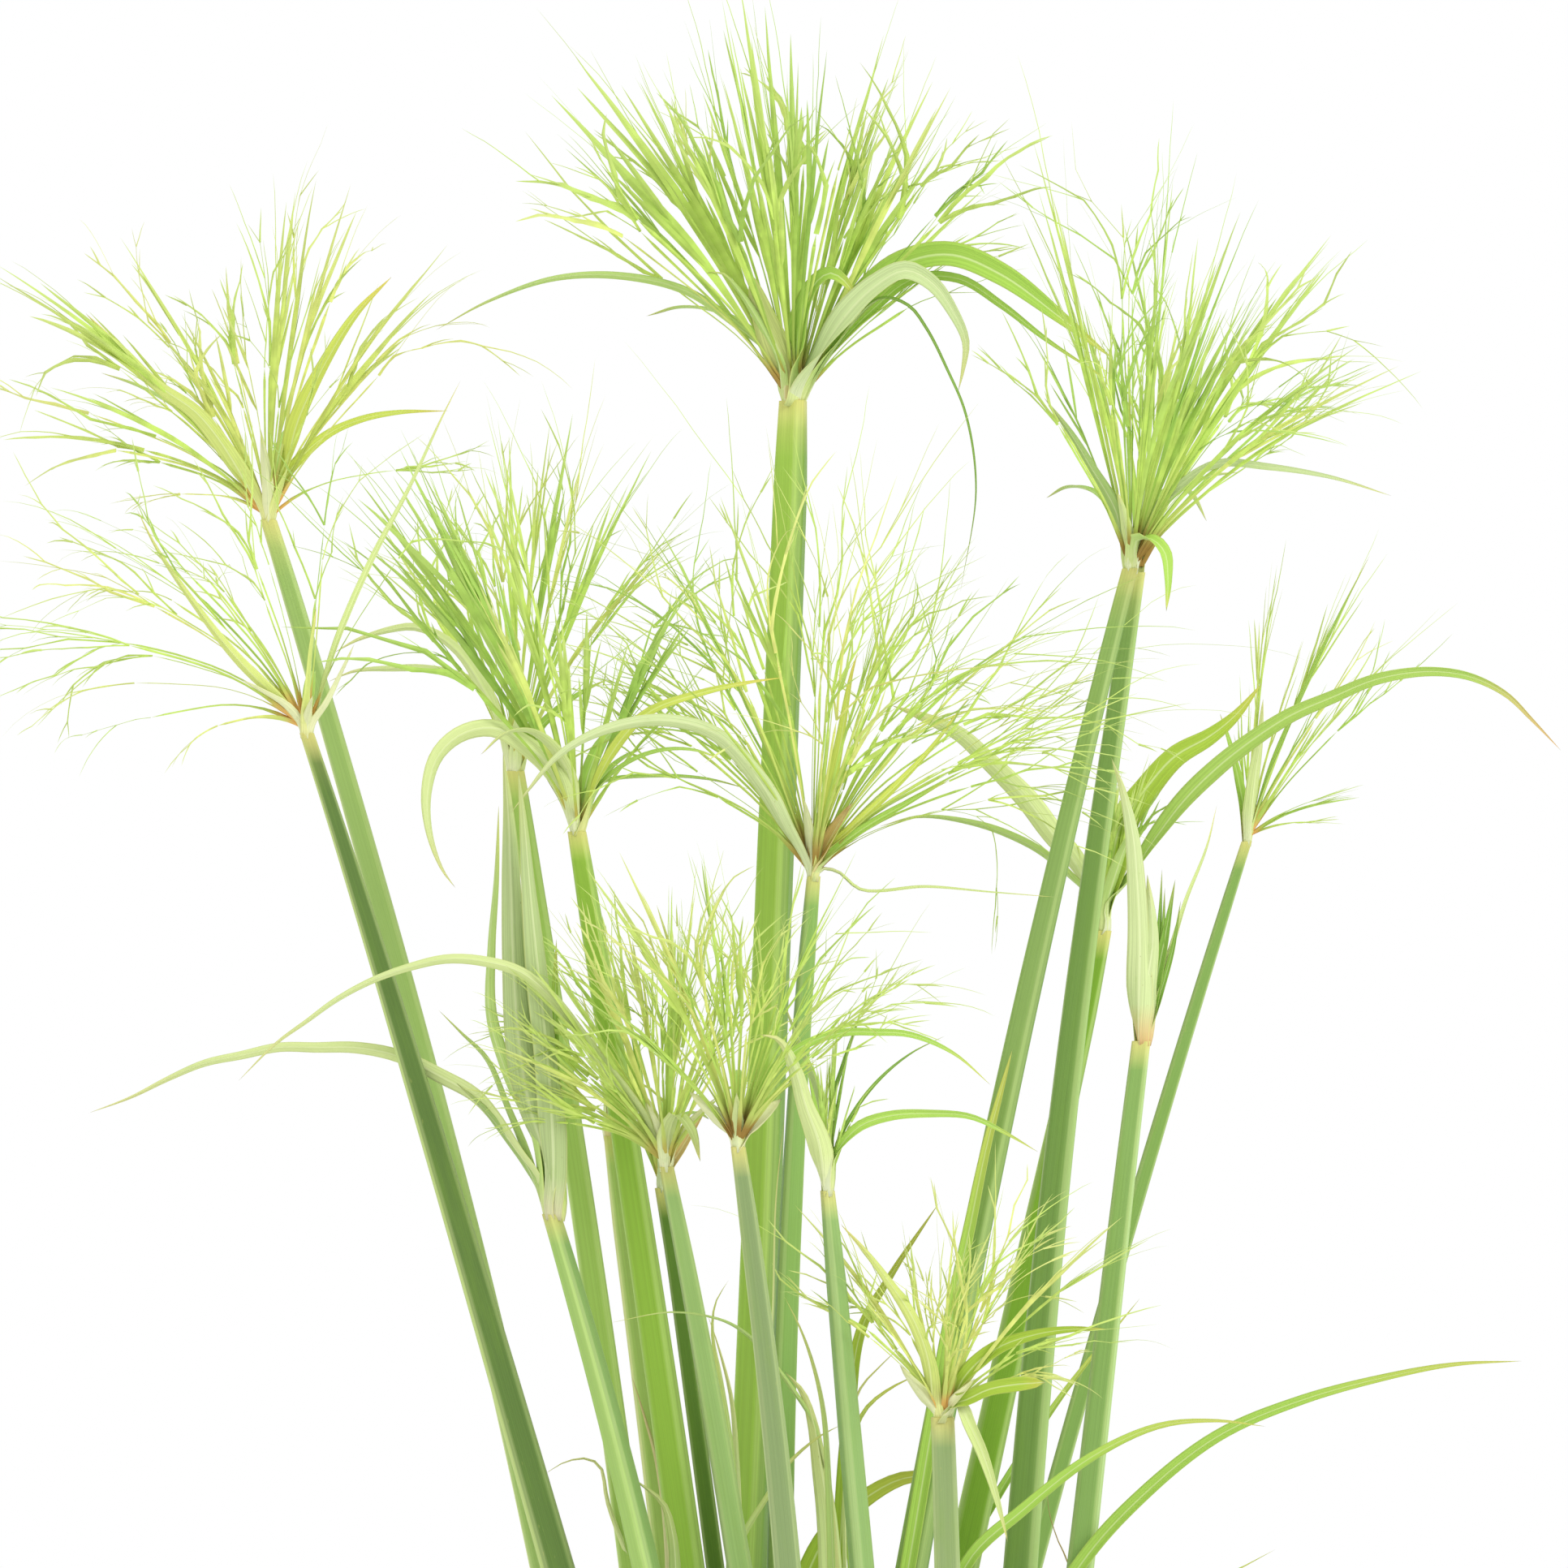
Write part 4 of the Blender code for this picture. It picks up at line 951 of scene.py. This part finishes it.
def soil_paint():
    """Dark crumbly soil with fibres and paler grains."""
    paint = Paint("soil_brown", 0.9, 0.2)
    place = paint.place()
    lumps = paint.noise(place, 160.0, 6.0, 0.65)
    grains = paint.noise(place, 700.0, 2.0)
    base = paint.mix(paint.spread(lumps, 0.35, 0.7), rgba(44, 32, 24), rgba(98, 72, 50))
    base = paint.patched(base, grains, 0.7, 0.78, 0.7, 150, 124, 92)
    return paint.finish(base, None, paint.bump(lumps, 0.9, 0.0015))


# The frame's places


def points_of(name):
    """The corners of a CAD solid, in millimetres."""
    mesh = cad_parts[name].data
    points = np.empty(len(mesh.vertices) * 3)
    mesh.vertices.foreach_get("co", points)
    return np.unique(np.round(points.reshape(-1, 3) / MM, 2), axis=0)


def leaf_foot(name):
    """The middle of a CAD leaf's lowest section."""
    points = points_of(name)
    return points[points[:, 2] < points[:, 2].min() + 3].mean(axis=0)


def levels_of(name):
    """The centre and radius of each level ring of a CAD stem, in millimetres."""
    points = points_of(name)
    heights = np.unique(np.round(points[:, 2], 1))
    rings = [points[np.abs(points[:, 2] - height) < 0.2] for height in heights]
    centres = np.array([ring.mean(axis=0) for ring in rings])
    radii = [np.linalg.norm(ring - centre, axis=1).mean() for ring, centre in zip(rings, centres)]
    return centres, np.array(radii)


def stem_axis(name):
    """Functions of height for a stem's centre and radius, and its lowest and highest level."""
    centres, radii = levels_of(name)
    heights = centres[:, 2]
    aside = np.polyfit(heights, centres[:, 0], 2)
    back = np.polyfit(heights, centres[:, 1], 1)

    def centre(z):
        z = np.asarray(z, float)
        return np.stack((np.polyval(aside, z), np.polyval(back, z), z), axis=-1)

    def radius(z):
        return np.interp(z, heights, radii)

    return centre, radius, heights[0], heights[-1]


def head_of(number):
    """Where a stem ends and its head begins, and the stem's radius there."""
    centre, radius, _, high = stem_axis(f"stem_{number:02d}")
    return centre(high), float(radius(high))


# Stems


def section_shares(turn):
    """The distance to the section's edge around it, as shares of the stem's radius."""
    around = np.arange(STEM_SIDES) * 2 * math.pi / STEM_SIDES
    planes = [(270 + 120 * i + turn, FLAT_SHARE) for i in range(3)]
    planes += [(90 + 120 * i + turn, CORNER_SHARE) for i in range(3)]
    total = sum(
        np.maximum(0, np.cos(around - math.radians(angle)) / share) ** SECTION_POWER
        for angle, share in planes
    )
    return around, total ** (-1 / SECTION_POWER)


def stem_tint(look, along):
    """Colours of each flat with their painted shade and light, painted highlights along the corners, a
    waxy bloom and a cream neck.
    """
    around, shares = section_shares(look.turn)
    tint = np.empty((STEM_SIDES, 3))
    # Each flat gets its own green, which is painted shade or light: darker or lighter by how the key light
    # falls on that side.
    for angle, flat in ((270, look.front), (30, look.right), (150, look.left)):
        near = np.cos(around - math.radians(angle + look.turn)) > 0.5
        tint[near] = colour(*flat)
    # Painted highlight: the corners are lightened towards a pale green, as ridges catching the light.
    edge = np.clip((shares - 0.93) / 0.03, 0, 1)[:, None]
    tint += (colour(*CORNER_HIGHLIGHT) - tint) * edge * 0.3
    tint += (colour(*BLOOM_GREY) - tint) * look.bloom
    tint = np.tile(tint, (len(along), 1, 1))
    tint += (colour(*STRAW) - tint) * look.dry
    neck = np.clip((along - 0.978) / 0.018, 0, 1)[:, None, None]
    return tint + (colour(*NECK_CREAM) - tint) * neck * 0.85


def stem_fullness(look, below, height):
    """How far a stem's section goes past its solid, this far below the neck."""
    swell = min(1, below / NECK_RUN) * (1 - 0.6 * below / height)
    return FULLNESS + look.girth * swell


def add_stem(form, name, look, rng):
    """A three-cornered stem along its solid, slightly waved and twisted."""
    centre, radius, low, high = stem_axis(name)
    count = round((high - low) / STEM_STEP)
    heights = np.linspace(low, high, count)
    middles = centre(heights)
    wave = np.sin(heights / rng.uniform(60, 90) + rng.uniform(0, 6)) * 0.25
    middles[:, 0] += wave * np.minimum(1, (high - heights) / 40)
    turn = look.turn + (heights - heights.mean()) * rng.uniform(-0.02, 0.02)
    rings = []
    for middle, z, angle in zip(middles, heights, turn):
        _, shares = section_shares(angle)
        reach = shares * radius(z) * stem_fullness(look, high - z, high - low)
        rings.append(middle + circle(reach, 0, STEM_SIDES))
    rings = np.array(rings)
    along = (heights - low) / (high - low)
    tint = stem_tint(look, along)
    form.loft(rings, along, np.arange(STEM_SIDES) / STEM_SIDES, rng.uniform(0, 1), tint)


# Blades


def blade_frame(line, roll):
    """Unit vectors across and out of a blade's face at each point of its line."""
    ahead = ahead_of(line)
    way = line[-1] - line[0]
    level = (-way[1], way[0], 0.0) if np.hypot(*way[:2]) > 1 else (1.0, 0.0, 0.0)
    level = unit(np.array(level))
    side = unit(level - ahead * (ahead @ level)[:, None])
    normal = np.cross(ahead, side)
    share = np.linspace(0, 1, len(line))
    angle = np.radians(roll * np.minimum(1, 3 * share))[:, None]
    turned = side * np.cos(angle) + normal * np.sin(angle)
    return turned, np.cross(ahead, turned)


def blade_profile(share, taper):
    """A blade's width along its length, as shares of its full width."""
    return np.minimum(1, 0.62 + 1.9 * share) * (1 - share**taper) ** 0.9


def add_blade(form, line, blade, rng, hug, foot_width):
    """A thin folded blade along a line, with a keel beneath and raised edges."""
    share = np.linspace(0, 1, len(line))
    length = line_length(line)
    side, normal = blade_frame(line, blade.roll)
    ripple = 1 + 0.05 * np.sin(share * rng.uniform(9, 15) + rng.uniform(0, 6))
    width = blade.width * blade_profile(share, blade.taper) * ripple
    width = width + (foot_width - width) * np.clip(1 - share * length / FOOT_RUN, 0, 1)
    fold = OPEN_FOLD + (hug - OPEN_FOLD) * np.clip(1 - share * length / HUG_RUN, 0, 1)
    thickness = np.minimum(BLADE_THICKNESS, 0.35 * width + 0.05)
    across = np.linspace(-1, 1, BLADE_COLUMNS + 1)
    upper = []
    lower = []
    for u in across:
        out = abs(u)
        rise = fold * (out**1.25 - 0.12 * math.sin(out * math.pi)) * width
        spot = line + side * (width * u / 2)[:, None] + normal * rise[:, None]
        thick = thickness * (0.16 + 0.5 * (1 - out**1.5) + 0.5 * max(0, 1 - out * 5))
        upper.append(spot + normal * (thickness * 0.12)[:, None])
        lower.append(spot - normal * thick[:, None])
    rings = np.stack(upper + lower[::-1], axis=1)[:-1]
    ring_across = np.concatenate((across, across[::-1]))
    foot, most, tip = BLADE_LOOKS[blade.look]
    pale = min(0.3, PALE_RUN / length)
    tint = ramp(share, ((0, foot), (pale, most), (0.8, most), (1, tip)))[:-1]
    tint = np.repeat(tint[:, None], len(ring_across), axis=1)
    under = np.repeat((0.0, 1.0), BLADE_COLUMNS + 1)[None, :, None]
    tint += (colour(*UNDER_GREEN) - tint) * under * 0.35
    form.loft(rings, share[:-1], ring_across, rng.uniform(0, 1), tint, line[-1])


def add_whorl(form, head, radius, blades, rng):
    """The bracts of one head: each starts on the stem's neck and clasps it."""
    for blade in blades:
        route = np.array(blade.route, float)
        heading = math.atan2(route[0][1] or 0.01, route[0][0])
        spread = np.array((math.cos(heading), math.sin(heading), 0))
        foot = head + spread * radius * 0.62 - UP * 2
        lip = head + spread * radius * 0.96 + UP * 2.5
        points = [foot, lip] + [head + UP * 3 + step for step in route]
        line = smooth_line(points, BLADE_STEP)
        add_blade(form, line, blade, rng, BRACT_HUG, min(1.6 * radius, 1.15 * blade.width))


# Rays


def ray_line(rng, start, first, last, length, droop, stray, count):
    """A line that turns from its first way to its last, strays a little and droops."""
    step = length / (count - 1)
    point = np.array(start, float)
    line = [point]
    push = np.zeros(3)
    for i in range(1, count):
        share = i / (count - 1)
        push = push * 0.7 + rng.normal(0, stray, 3)
        way = first + (last - first) * min(1, share * 1.5) + push - UP * droop * share**2
        point = point + unit(way) * step
        line.append(point)
    return np.array(line)


def knotted_line(rng, start, way, length, droop, knots):
    """Nearly straight runs of RUN_STEPS steps that turn at each knot and curl outward."""
    outward = way * (1, 1, 0)
    curl = (outward * 0.35 + rng.normal(0, CURL, 3)) / (RUN_STEPS * (knots + 1))
    runs = rng.uniform(0.6, 1.4, knots + 1)
    runs *= length / runs.sum()
    point = np.array(start, float)
    line = [point]
    for run in runs:
        for _ in range(RUN_STEPS):
            way = unit(way + curl - UP * droop * 0.05)
            point = point + way * run / RUN_STEPS
            line.append(point)
        way = unit(way + rng.normal(0, KNOT_TURN, 3))
    return np.array(line)


def add_thread(form, line, widths, along, tone, tint, rng, flat=0.35):
    """A flattened thread of four sides, pointed at its end."""
    ahead = ahead_of(line)
    level = unit(rng.normal(0, 0.7, 3) + RIBBON_FACE)
    side = unit(level - ahead * (ahead @ level)[:, None])
    normal = np.cross(ahead, side)
    ring = [side, normal * flat, -side, -normal * flat]
    rings = np.stack([line + way * (widths / 2)[:, None] for way in ring], axis=1)[:-1]
    form.loft(rings, along[:-1], np.arange(4) / 4, tone, [tint] * len(rings), line[-1])


def tilted(aside, back):
    """The unit vector tilted from upright by these angles, to +X and to +Y."""
    tilt = math.radians(math.hypot(aside, back))
    around = math.atan2(back, aside)
    level = math.sin(tilt)
    return np.array((level * math.cos(around), level * math.sin(around), math.cos(tilt)))


def foot_widths(line, widths):
    """The widths of a ray, thickened over its sheathed foot."""
    run = np.linspace(0, line_length(line), len(line))
    sheath = 1.7 - 0.7 * np.clip((run - SHEATH) / SHEATH_END, 0, 1)
    return np.where(run < SHEATH + SHEATH_END, np.maximum(widths, sheath), widths)


def add_ribbon_ray(form, plume, start, first, last, reach, width, tone, rng):
    """A ray that widens to a flat ribbon with pointed flags and fine threads."""
    tint = colour(*RAY_FEET[plume.foot])
    droop = plume.droop / 90
    line = ray_line(rng, start, first, last, reach, droop, 0.012, 18)
    share = np.linspace(0, 1, len(line))
    swell = np.clip((share - 0.16) / 0.34, 0, 1)
    taper = 1 - np.clip((share - 0.56) / 0.44, 0, 1) ** 1.2
    widths = (1.0 + (width - 1.0) * swell) * taper + 0.12
    add_thread(form, line, foot_widths(line, widths), share, tone, tint, rng, 0.22)
    for _ in range(rng.integers(2, 4)):
        at = rng.integers(7, 12)
        length = reach * rng.uniform(0.26, 0.42)
        aim = unit(ahead_of(line)[at] + rng.normal(0, 0.10, 3))
        flag = ray_line(rng, line[at - 1], aim, aim, length, droop, 0.02, 8)
        part = np.linspace(0, 1, len(flag))
        widths = width * rng.uniform(0.45, 0.8) * np.sin(part**0.6 * math.pi) ** 0.7 + 0.14
        add_thread(form, flag, widths, share[at] + part * 0.4, tone, tint, rng, 0.22)
    for _ in range(rng.integers(1, 4)):
        at = rng.integers(8, 14)
        aim = unit(ahead_of(line)[at] + rng.normal(0, 0.09, 3))
        add_filament(form, line[at], aim, reach * rng.uniform(0.26, 0.46), droop, tone, tint, rng)


def add_filament(form, start, aim, length, droop, tone, tint, rng):
    """A fine thread, thinning to its tip."""
    thread = ray_line(rng, start, aim, aim, length, droop * 2, 0.03, 8)
    part = np.linspace(0, 1, len(thread))
    add_thread(form, thread, 0.52 - 0.38 * part, 0.6 + 0.4 * part, tone, tint, rng)


def add_knotted_ray(form, plume, start, first, last, reach, width, tone, rng):
    """A thin straight ray with forks, each of them bent and twigged at its knots."""
    tint = colour(*RAY_FEET[plume.foot])
    droop = plume.droop / 60 * (0.3 + abs(last[0]))
    fork_at = plume.fork_at * rng.uniform(0.8, 1.15)
    line = ray_line(rng, start, first, last, reach * fork_at, droop * 0.3, 0.012, 12)
    share = np.linspace(0, 1, len(line))
    widths = 0.8 + 0.35 * (width - 0.7) * share**2
    add_thread(form, line, foot_widths(line, widths), share * fork_at, tone, tint, rng)
    for _ in range(rng.integers(1, 4)):
        aim = unit(ahead_of(line)[-1] + rng.normal(0, 0.17, 3))
        length = reach * (1 - fork_at) * rng.uniform(0.7, 1.15)
        add_fork(form, line[-1], aim, length, droop, width, fork_at, tone, tint, rng)


def add_fork(form, start, aim, length, droop, width, fork_at, tone, tint, rng):
    """One arm of a fork, with a thread or a twig at most of its knots."""
    knots = int(rng.integers(2, 6))
    line = knotted_line(rng, start, aim, length, droop, knots)
    share = np.linspace(0, 1, len(line))
    swell = 1 - 0.3 * (np.arange(len(line)) % RUN_STEPS) / (RUN_STEPS - 1)
    rise = np.minimum(1, 0.7 + 1.6 * share)
    widths = width * rng.uniform(0.65, 1.0) * rise * swell * (1 - 0.85 * share) + 0.16
    along = fork_at + share * (1 - fork_at)
    add_thread(form, line, widths, along, tone, tint, rng, 0.3)
    for knot in range(1, knots + 1):
        at = knot * RUN_STEPS
        aim = unit(unit(line[at] - line[at - 1]) + rng.normal(0, 0.22, 3))
        kind = rng.uniform()
        if kind < FILAMENT_SHARE:
            add_filament(form, line[at], aim, length * rng.uniform(0.4, 0.8), droop, tone, tint, rng)
        elif kind < TWIG_SHARE:
            twig = ray_line(rng, line[at], aim, aim, rng.uniform(6, 15), droop, 0.03, 4)
            widths = np.array((0.85, 0.7, 0.45, 0.14))
            add_thread(form, twig, widths, np.linspace(along[at], 1, 4), tone, tint, rng, 0.4)


def add_ray(form, plume, aside, back, reach, width, base, radius, rng):
    """One ray of a plume, a flat ribbon or a thin one with knots."""
    heading = math.atan2(back, aside)
    spread = min(1, math.hypot(aside, back) / 45)
    start = base + np.array((math.cos(heading), math.sin(heading), 0)) * radius * 0.6 * spread
    tone = float(np.clip(plume.tone + rng.normal(0, TONE_STRAY), 0.02, 0.98))
    make, lean = add_knotted_ray, KNOTTED_LEAN
    if rng.uniform() > plume.knots:
        make, lean = add_ribbon_ray, RIBBON_LEAN
    first = tilted(aside * FOOT_LEAN, back * FOOT_LEAN)
    last = unit(tilted(aside * lean, back) + rng.normal(0, 0.06, 3))
    make(form, plume, start, first, last, reach, width, tone, rng)


def add_plume(form, plume, head, radius, rng):
    """All rays of one plume: those of its bands, then the loose ones of its dome."""
    base = head + UP * 2.5
    for band in map(Band._make, plume.bands):
        for _ in range(band.rays):
            aside = band.aside + rng.normal(0, BAND_STRAY[0])
            back = band.back + rng.normal(0, BAND_STRAY[1])
            reach = band.reach * rng.uniform(0.84, 1.0)
            width = band.width * rng.uniform(0.8, 1.2)
            add_ray(form, plume, aside, back, reach, width, base, radius, rng)
    lean, fan, back, depth = plume.dome
    for _ in range(plume.loose):
        angle = rng.uniform(0, 2 * math.pi)
        spread = rng.uniform(0.2, 1) ** 0.5
        aside = lean + fan * spread * math.cos(angle)
        turn = back + depth * spread * math.sin(angle)
        reach = plume.reach * rng.uniform(0.75, 1.05)
        width = plume.width * rng.uniform(0.8, 1.25)
        add_ray(form, plume, aside, turn, reach, width, base, radius, rng)


# Pot and soil


def rounded(points, size, steps=4):
    """A profile whose corners between its ends are rounded by cutting them size back."""
    points = [np.array(point, float) for point in points]
    line = [points[0]]
    for before, corner, after in zip(points, points[1:], points[2:]):
        cut = min(size, np.linalg.norm(before - corner) / 2.2, np.linalg.norm(after - corner) / 2.2)
        start = corner + unit(before - corner) * cut
        end = corner + unit(after - corner) * cut
        for i in range(steps + 1):
            t = i / steps
            line.append((1 - t) ** 2 * start + 2 * t * (1 - t) * corner + t**2 * end)
    return np.array(line + [points[-1]])


def close_plain(form, rings):
    """Closes the rings of a form that takes its colours from its material alone."""
    rings = np.array(rings)
    count, sides = rings.shape[:2]
    share = np.linspace(0, 1, count)
    form.loft(rings, share, np.arange(sides) / sides, 0.5, np.full((count, 3), 0.1))


def pot_radius(z):
    """The pot's outer radius at this height, under the rim."""
    return POT_FOOT_RADIUS + (POT_TOP_RADIUS - RIM_PROUD - POT_FOOT_RADIUS) * z / POT_HEIGHT


def make_pot():
    """A round nursery pot: rolled rim, two shallow steps on its wall and a foot ring."""
    rim_low = POT_HEIGHT - RIM_HEIGHT
    profile = rounded(
        (
            (0.01, 4),
            (pot_radius(4) - POT_WALL, 4),
            (pot_radius(POT_HEIGHT) - POT_WALL, POT_HEIGHT - 0.6),
            (POT_TOP_RADIUS - 1.2, POT_HEIGHT),
            (POT_TOP_RADIUS, POT_HEIGHT - 2.5),
            (POT_TOP_RADIUS - 0.5, rim_low),
            (pot_radius(rim_low), rim_low - RIM_PROUD),
            (pot_radius(96) + 0.2, 96),
            (pot_radius(94) - 0.7, 94),
            (pot_radius(12) - 0.7, 12),
            (pot_radius(10) + 0.1, 10),
            (POT_FOOT_RADIUS, 1.5),
            (POT_FOOT_RADIUS - 2.5, 0),
            (POT_FOOT_RADIUS - 8, 0),
            (POT_FOOT_RADIUS - 9, 1.2),
            (0.01, 1.2),
        ),
        1.6,
    )
    form = Form()
    close_plain(form, [circle(radius, z, POT_SIDES) for radius, z in profile[::-1]])
    return form.mesh("nursery_pot")


def soil_height(x, y):
    """The soil's surface in millimetres: a low crown with lumps and crumbs."""
    away = math.hypot(x, y) / 95
    lumps = noise.fractal(Vector((x / 26, y / 26, 3.1)), 1.0, 2.0, 5)
    crumbs = noise.fractal(Vector((x / 5, y / 5, 9.7)), 0.8, 2.0, 3)
    return SOIL_TOP + SOIL_CROWN * (1 - 1.6 * away**2) + 2.2 * lumps + 1.1 * crumbs


def make_soil(rng):
    """The soil's body under a lumpy surface, with crumbs lying on it."""
    edge = pot_radius(SOIL_TOP) - POT_WALL - 0.6
    sides = ((edge - 6, 112), (edge - 2.5, 125), (edge - 0.5, 140))
    rings = [circle(radius, z, SOIL_SIDES) for radius, z in sides]
    for share in np.linspace(1, 0.01, SOIL_RINGS) ** 0.8:
        level = circle(edge * share, 0.0, SOIL_SIDES)
        level[:, 2] = [soil_height(x, y) for x, y, _ in level]
        rings.append(level)
    form = Form()
    close_plain(form, rings)
    for _ in range(CRUMBS):
        add_crumb(form, edge, rng)
    return form.mesh("potting_soil")


def add_crumb(form, edge, rng):
    """A small rough lump that lies half sunk in the soil."""
    away = edge * 0.97 * math.sqrt(rng.uniform(0.02, 1))
    angle = rng.uniform(0, 2 * math.pi)
    x, y = away * math.cos(angle), away * math.sin(angle)
    size = rng.uniform(0.8, 2.6)
    middle = np.array((x, y, soil_height(x, y) + size * 0.2))
    rings = []
    for height in (-0.75, -0.2, 0.4, 0.8):
        reach = math.sqrt(1 - height**2) * size * rng.uniform(0.75, 1.25, CRUMB_SIDES)
        rings.append(middle + circle(reach, height * size, CRUMB_SIDES))
    close_plain(form, rings)


# Pieces


def make_piece(name, mesh, material, slot, *nodes):
    """A visible piece that rides with the plant, in place of CAD nodes if it has any."""
    piece = bpy.data.objects.new(name, mesh)
    bpy.context.scene.collection.objects.link(piece)
    mesh.materials.append(material)
    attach(piece, "root")
    if nodes:
        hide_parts(*nodes)


def make_stems(material):
    for number, look in STEM_LOOKS.items():
        form = Form()
        node = f"stem_{number:02d}"
        name = f"green_{node}"
        add_stem(form, node, look, np.random.default_rng(number))
        make_piece(name, form.mesh(name), material, "stem", node)


def make_whorls(material):
    for number, blades in BRACTS.items():
        form = Form()
        name = f"whorl_{number:02d}"
        add_whorl(form, *head_of(number), blades, np.random.default_rng(WHORL_SEED + number))
        make_piece(name, form.mesh(name), material, "bract", f"bracts_{number:02d}")


def make_plumes(material):
    for number, plume in PLUMES.items():
        form = ThreadForm()
        name = f"plume_{number:02d}"
        add_plume(form, plume, *head_of(number), np.random.default_rng(PLUME_SEED + number))
        mesh = form.mesh(name, rows=1)
        mesh.shade_flat()
        make_piece(name, mesh, material, "ray", f"rays_{number:02d}")


def make_leaves(material):
    for number, blade in LEAVES.items():
        form = Form()
        foot = leaf_foot(f"leaf_{number:02d}")
        line = smooth_line([foot] + [foot + np.array(step) for step in blade.route], LEAF_STEP)
        name = f"basal_leaf_{number:02d}"
        rng = np.random.default_rng(LEAF_SEED + number)
        add_blade(form, line, blade, rng, LEAF_HUG, 0.7 * blade.width)
        make_piece(name, form.mesh(name), material, "leaf", f"leaf_{number:02d}")


def make_small_leaves(material):
    form = Form()
    rng = np.random.default_rng(SMALL_LEAF_SEED)
    for blade in SMALL_LEAVES:
        line = smooth_line(blade.route, LEAF_STEP)
        add_blade(form, line, blade, rng, LEAF_HUG, 0.6 * blade.width)
    make_piece("small_leaves", form.mesh("small_leaves"), material, "leaf")


def make_shoot(material):
    form = Form()
    look = StemLook(10, *[SHOOT_GREEN] * 3, 0.1, 0.15)
    add_stem(form, "young_shoot", look, np.random.default_rng(SHOOT_SEED))
    make_piece("sheathed_shoot", form.mesh("sheathed_shoot"), material, "shoot", "young_shoot")


# Stage


def plain_material(name, level):
    """A matt pale surface with the faintest grain."""
    paint = Paint(name, 0.8, 0.1)
    grain = paint.noise(paint.place(), 40.0)
    return paint.finish(paint.mix(grain, (level, level, level, 1), (level * 0.97,) * 3 + (1,)))


def make_floor():
    """A round pale floor under the pot."""
    bpy.ops.mesh.primitive_circle_add(vertices=96, radius=1.6, fill_type="NGON")
    floor = bpy.context.object
    floor.name = "floor"
    floor.data.materials.append(plain_material("floor_white", 0.86))


def make_light(name, place, aim, size, power):
    """A square light in metres and watts that looks at its aim."""
    data = bpy.data.lights.new(name, "AREA")
    data.size = size
    data.energy = power
    light = bpy.data.objects.new(name, data)
    light.location = place
    way = Vector(aim) - Vector(place)
    light.rotation_euler = way.to_track_quat("-Z", "Y").to_euler()
    bpy.context.scene.collection.objects.link(light)


def make_world():
    """Soft even light all round, which is also the plain white behind the plant."""
    world = bpy.data.worlds.new("studio")
    bpy.context.scene.world = world
    world.use_nodes = True
    light = world.node_tree.nodes["Background"]
    light.inputs["Color"].default_value = (1, 1, 1, 1)
    light.inputs["Strength"].default_value = 1.0


def make_camera():
    data = bpy.data.cameras.new("camera")
    data.sensor_width = SENSOR_WIDTH
    data.lens = -CAMERA_AT[1] * SENSOR_WIDTH / PICTURE_WIDTH
    camera = bpy.data.objects.new("camera", data)
    camera.location = [MM * part for part in CAMERA_AT]
    camera.rotation_euler = (math.radians(90), 0, 0)
    bpy.context.scene.collection.objects.link(camera)
    bpy.context.scene.camera = camera


def make_stage():
    make_camera()
    make_world()
    make_floor()
    aim = (0, 0, 0.55)
    make_light("key", (1.7, -1.6, 1.9), aim, 1.1, 30)
    make_light("fill", (-2.2, -1.4, 1.0), aim, 1.8, 6)
    bpy.context.scene.view_settings.view_transform = "Standard"


make_stage()
make_stems(stem_paint())
make_whorls(blade_paint("bract_green"))
make_plumes(ray_paint())
leaf_green = blade_paint("leaf_green")
make_leaves(leaf_green)
make_small_leaves(leaf_green)
make_shoot(stem_paint())
make_piece("nursery_pot", make_pot(), pot_paint(), "pot_plastic", "pot")
soil = make_soil(np.random.default_rng(SOIL_SEED))
make_piece("potting_soil", soil, soil_paint(), "soil", "soil")
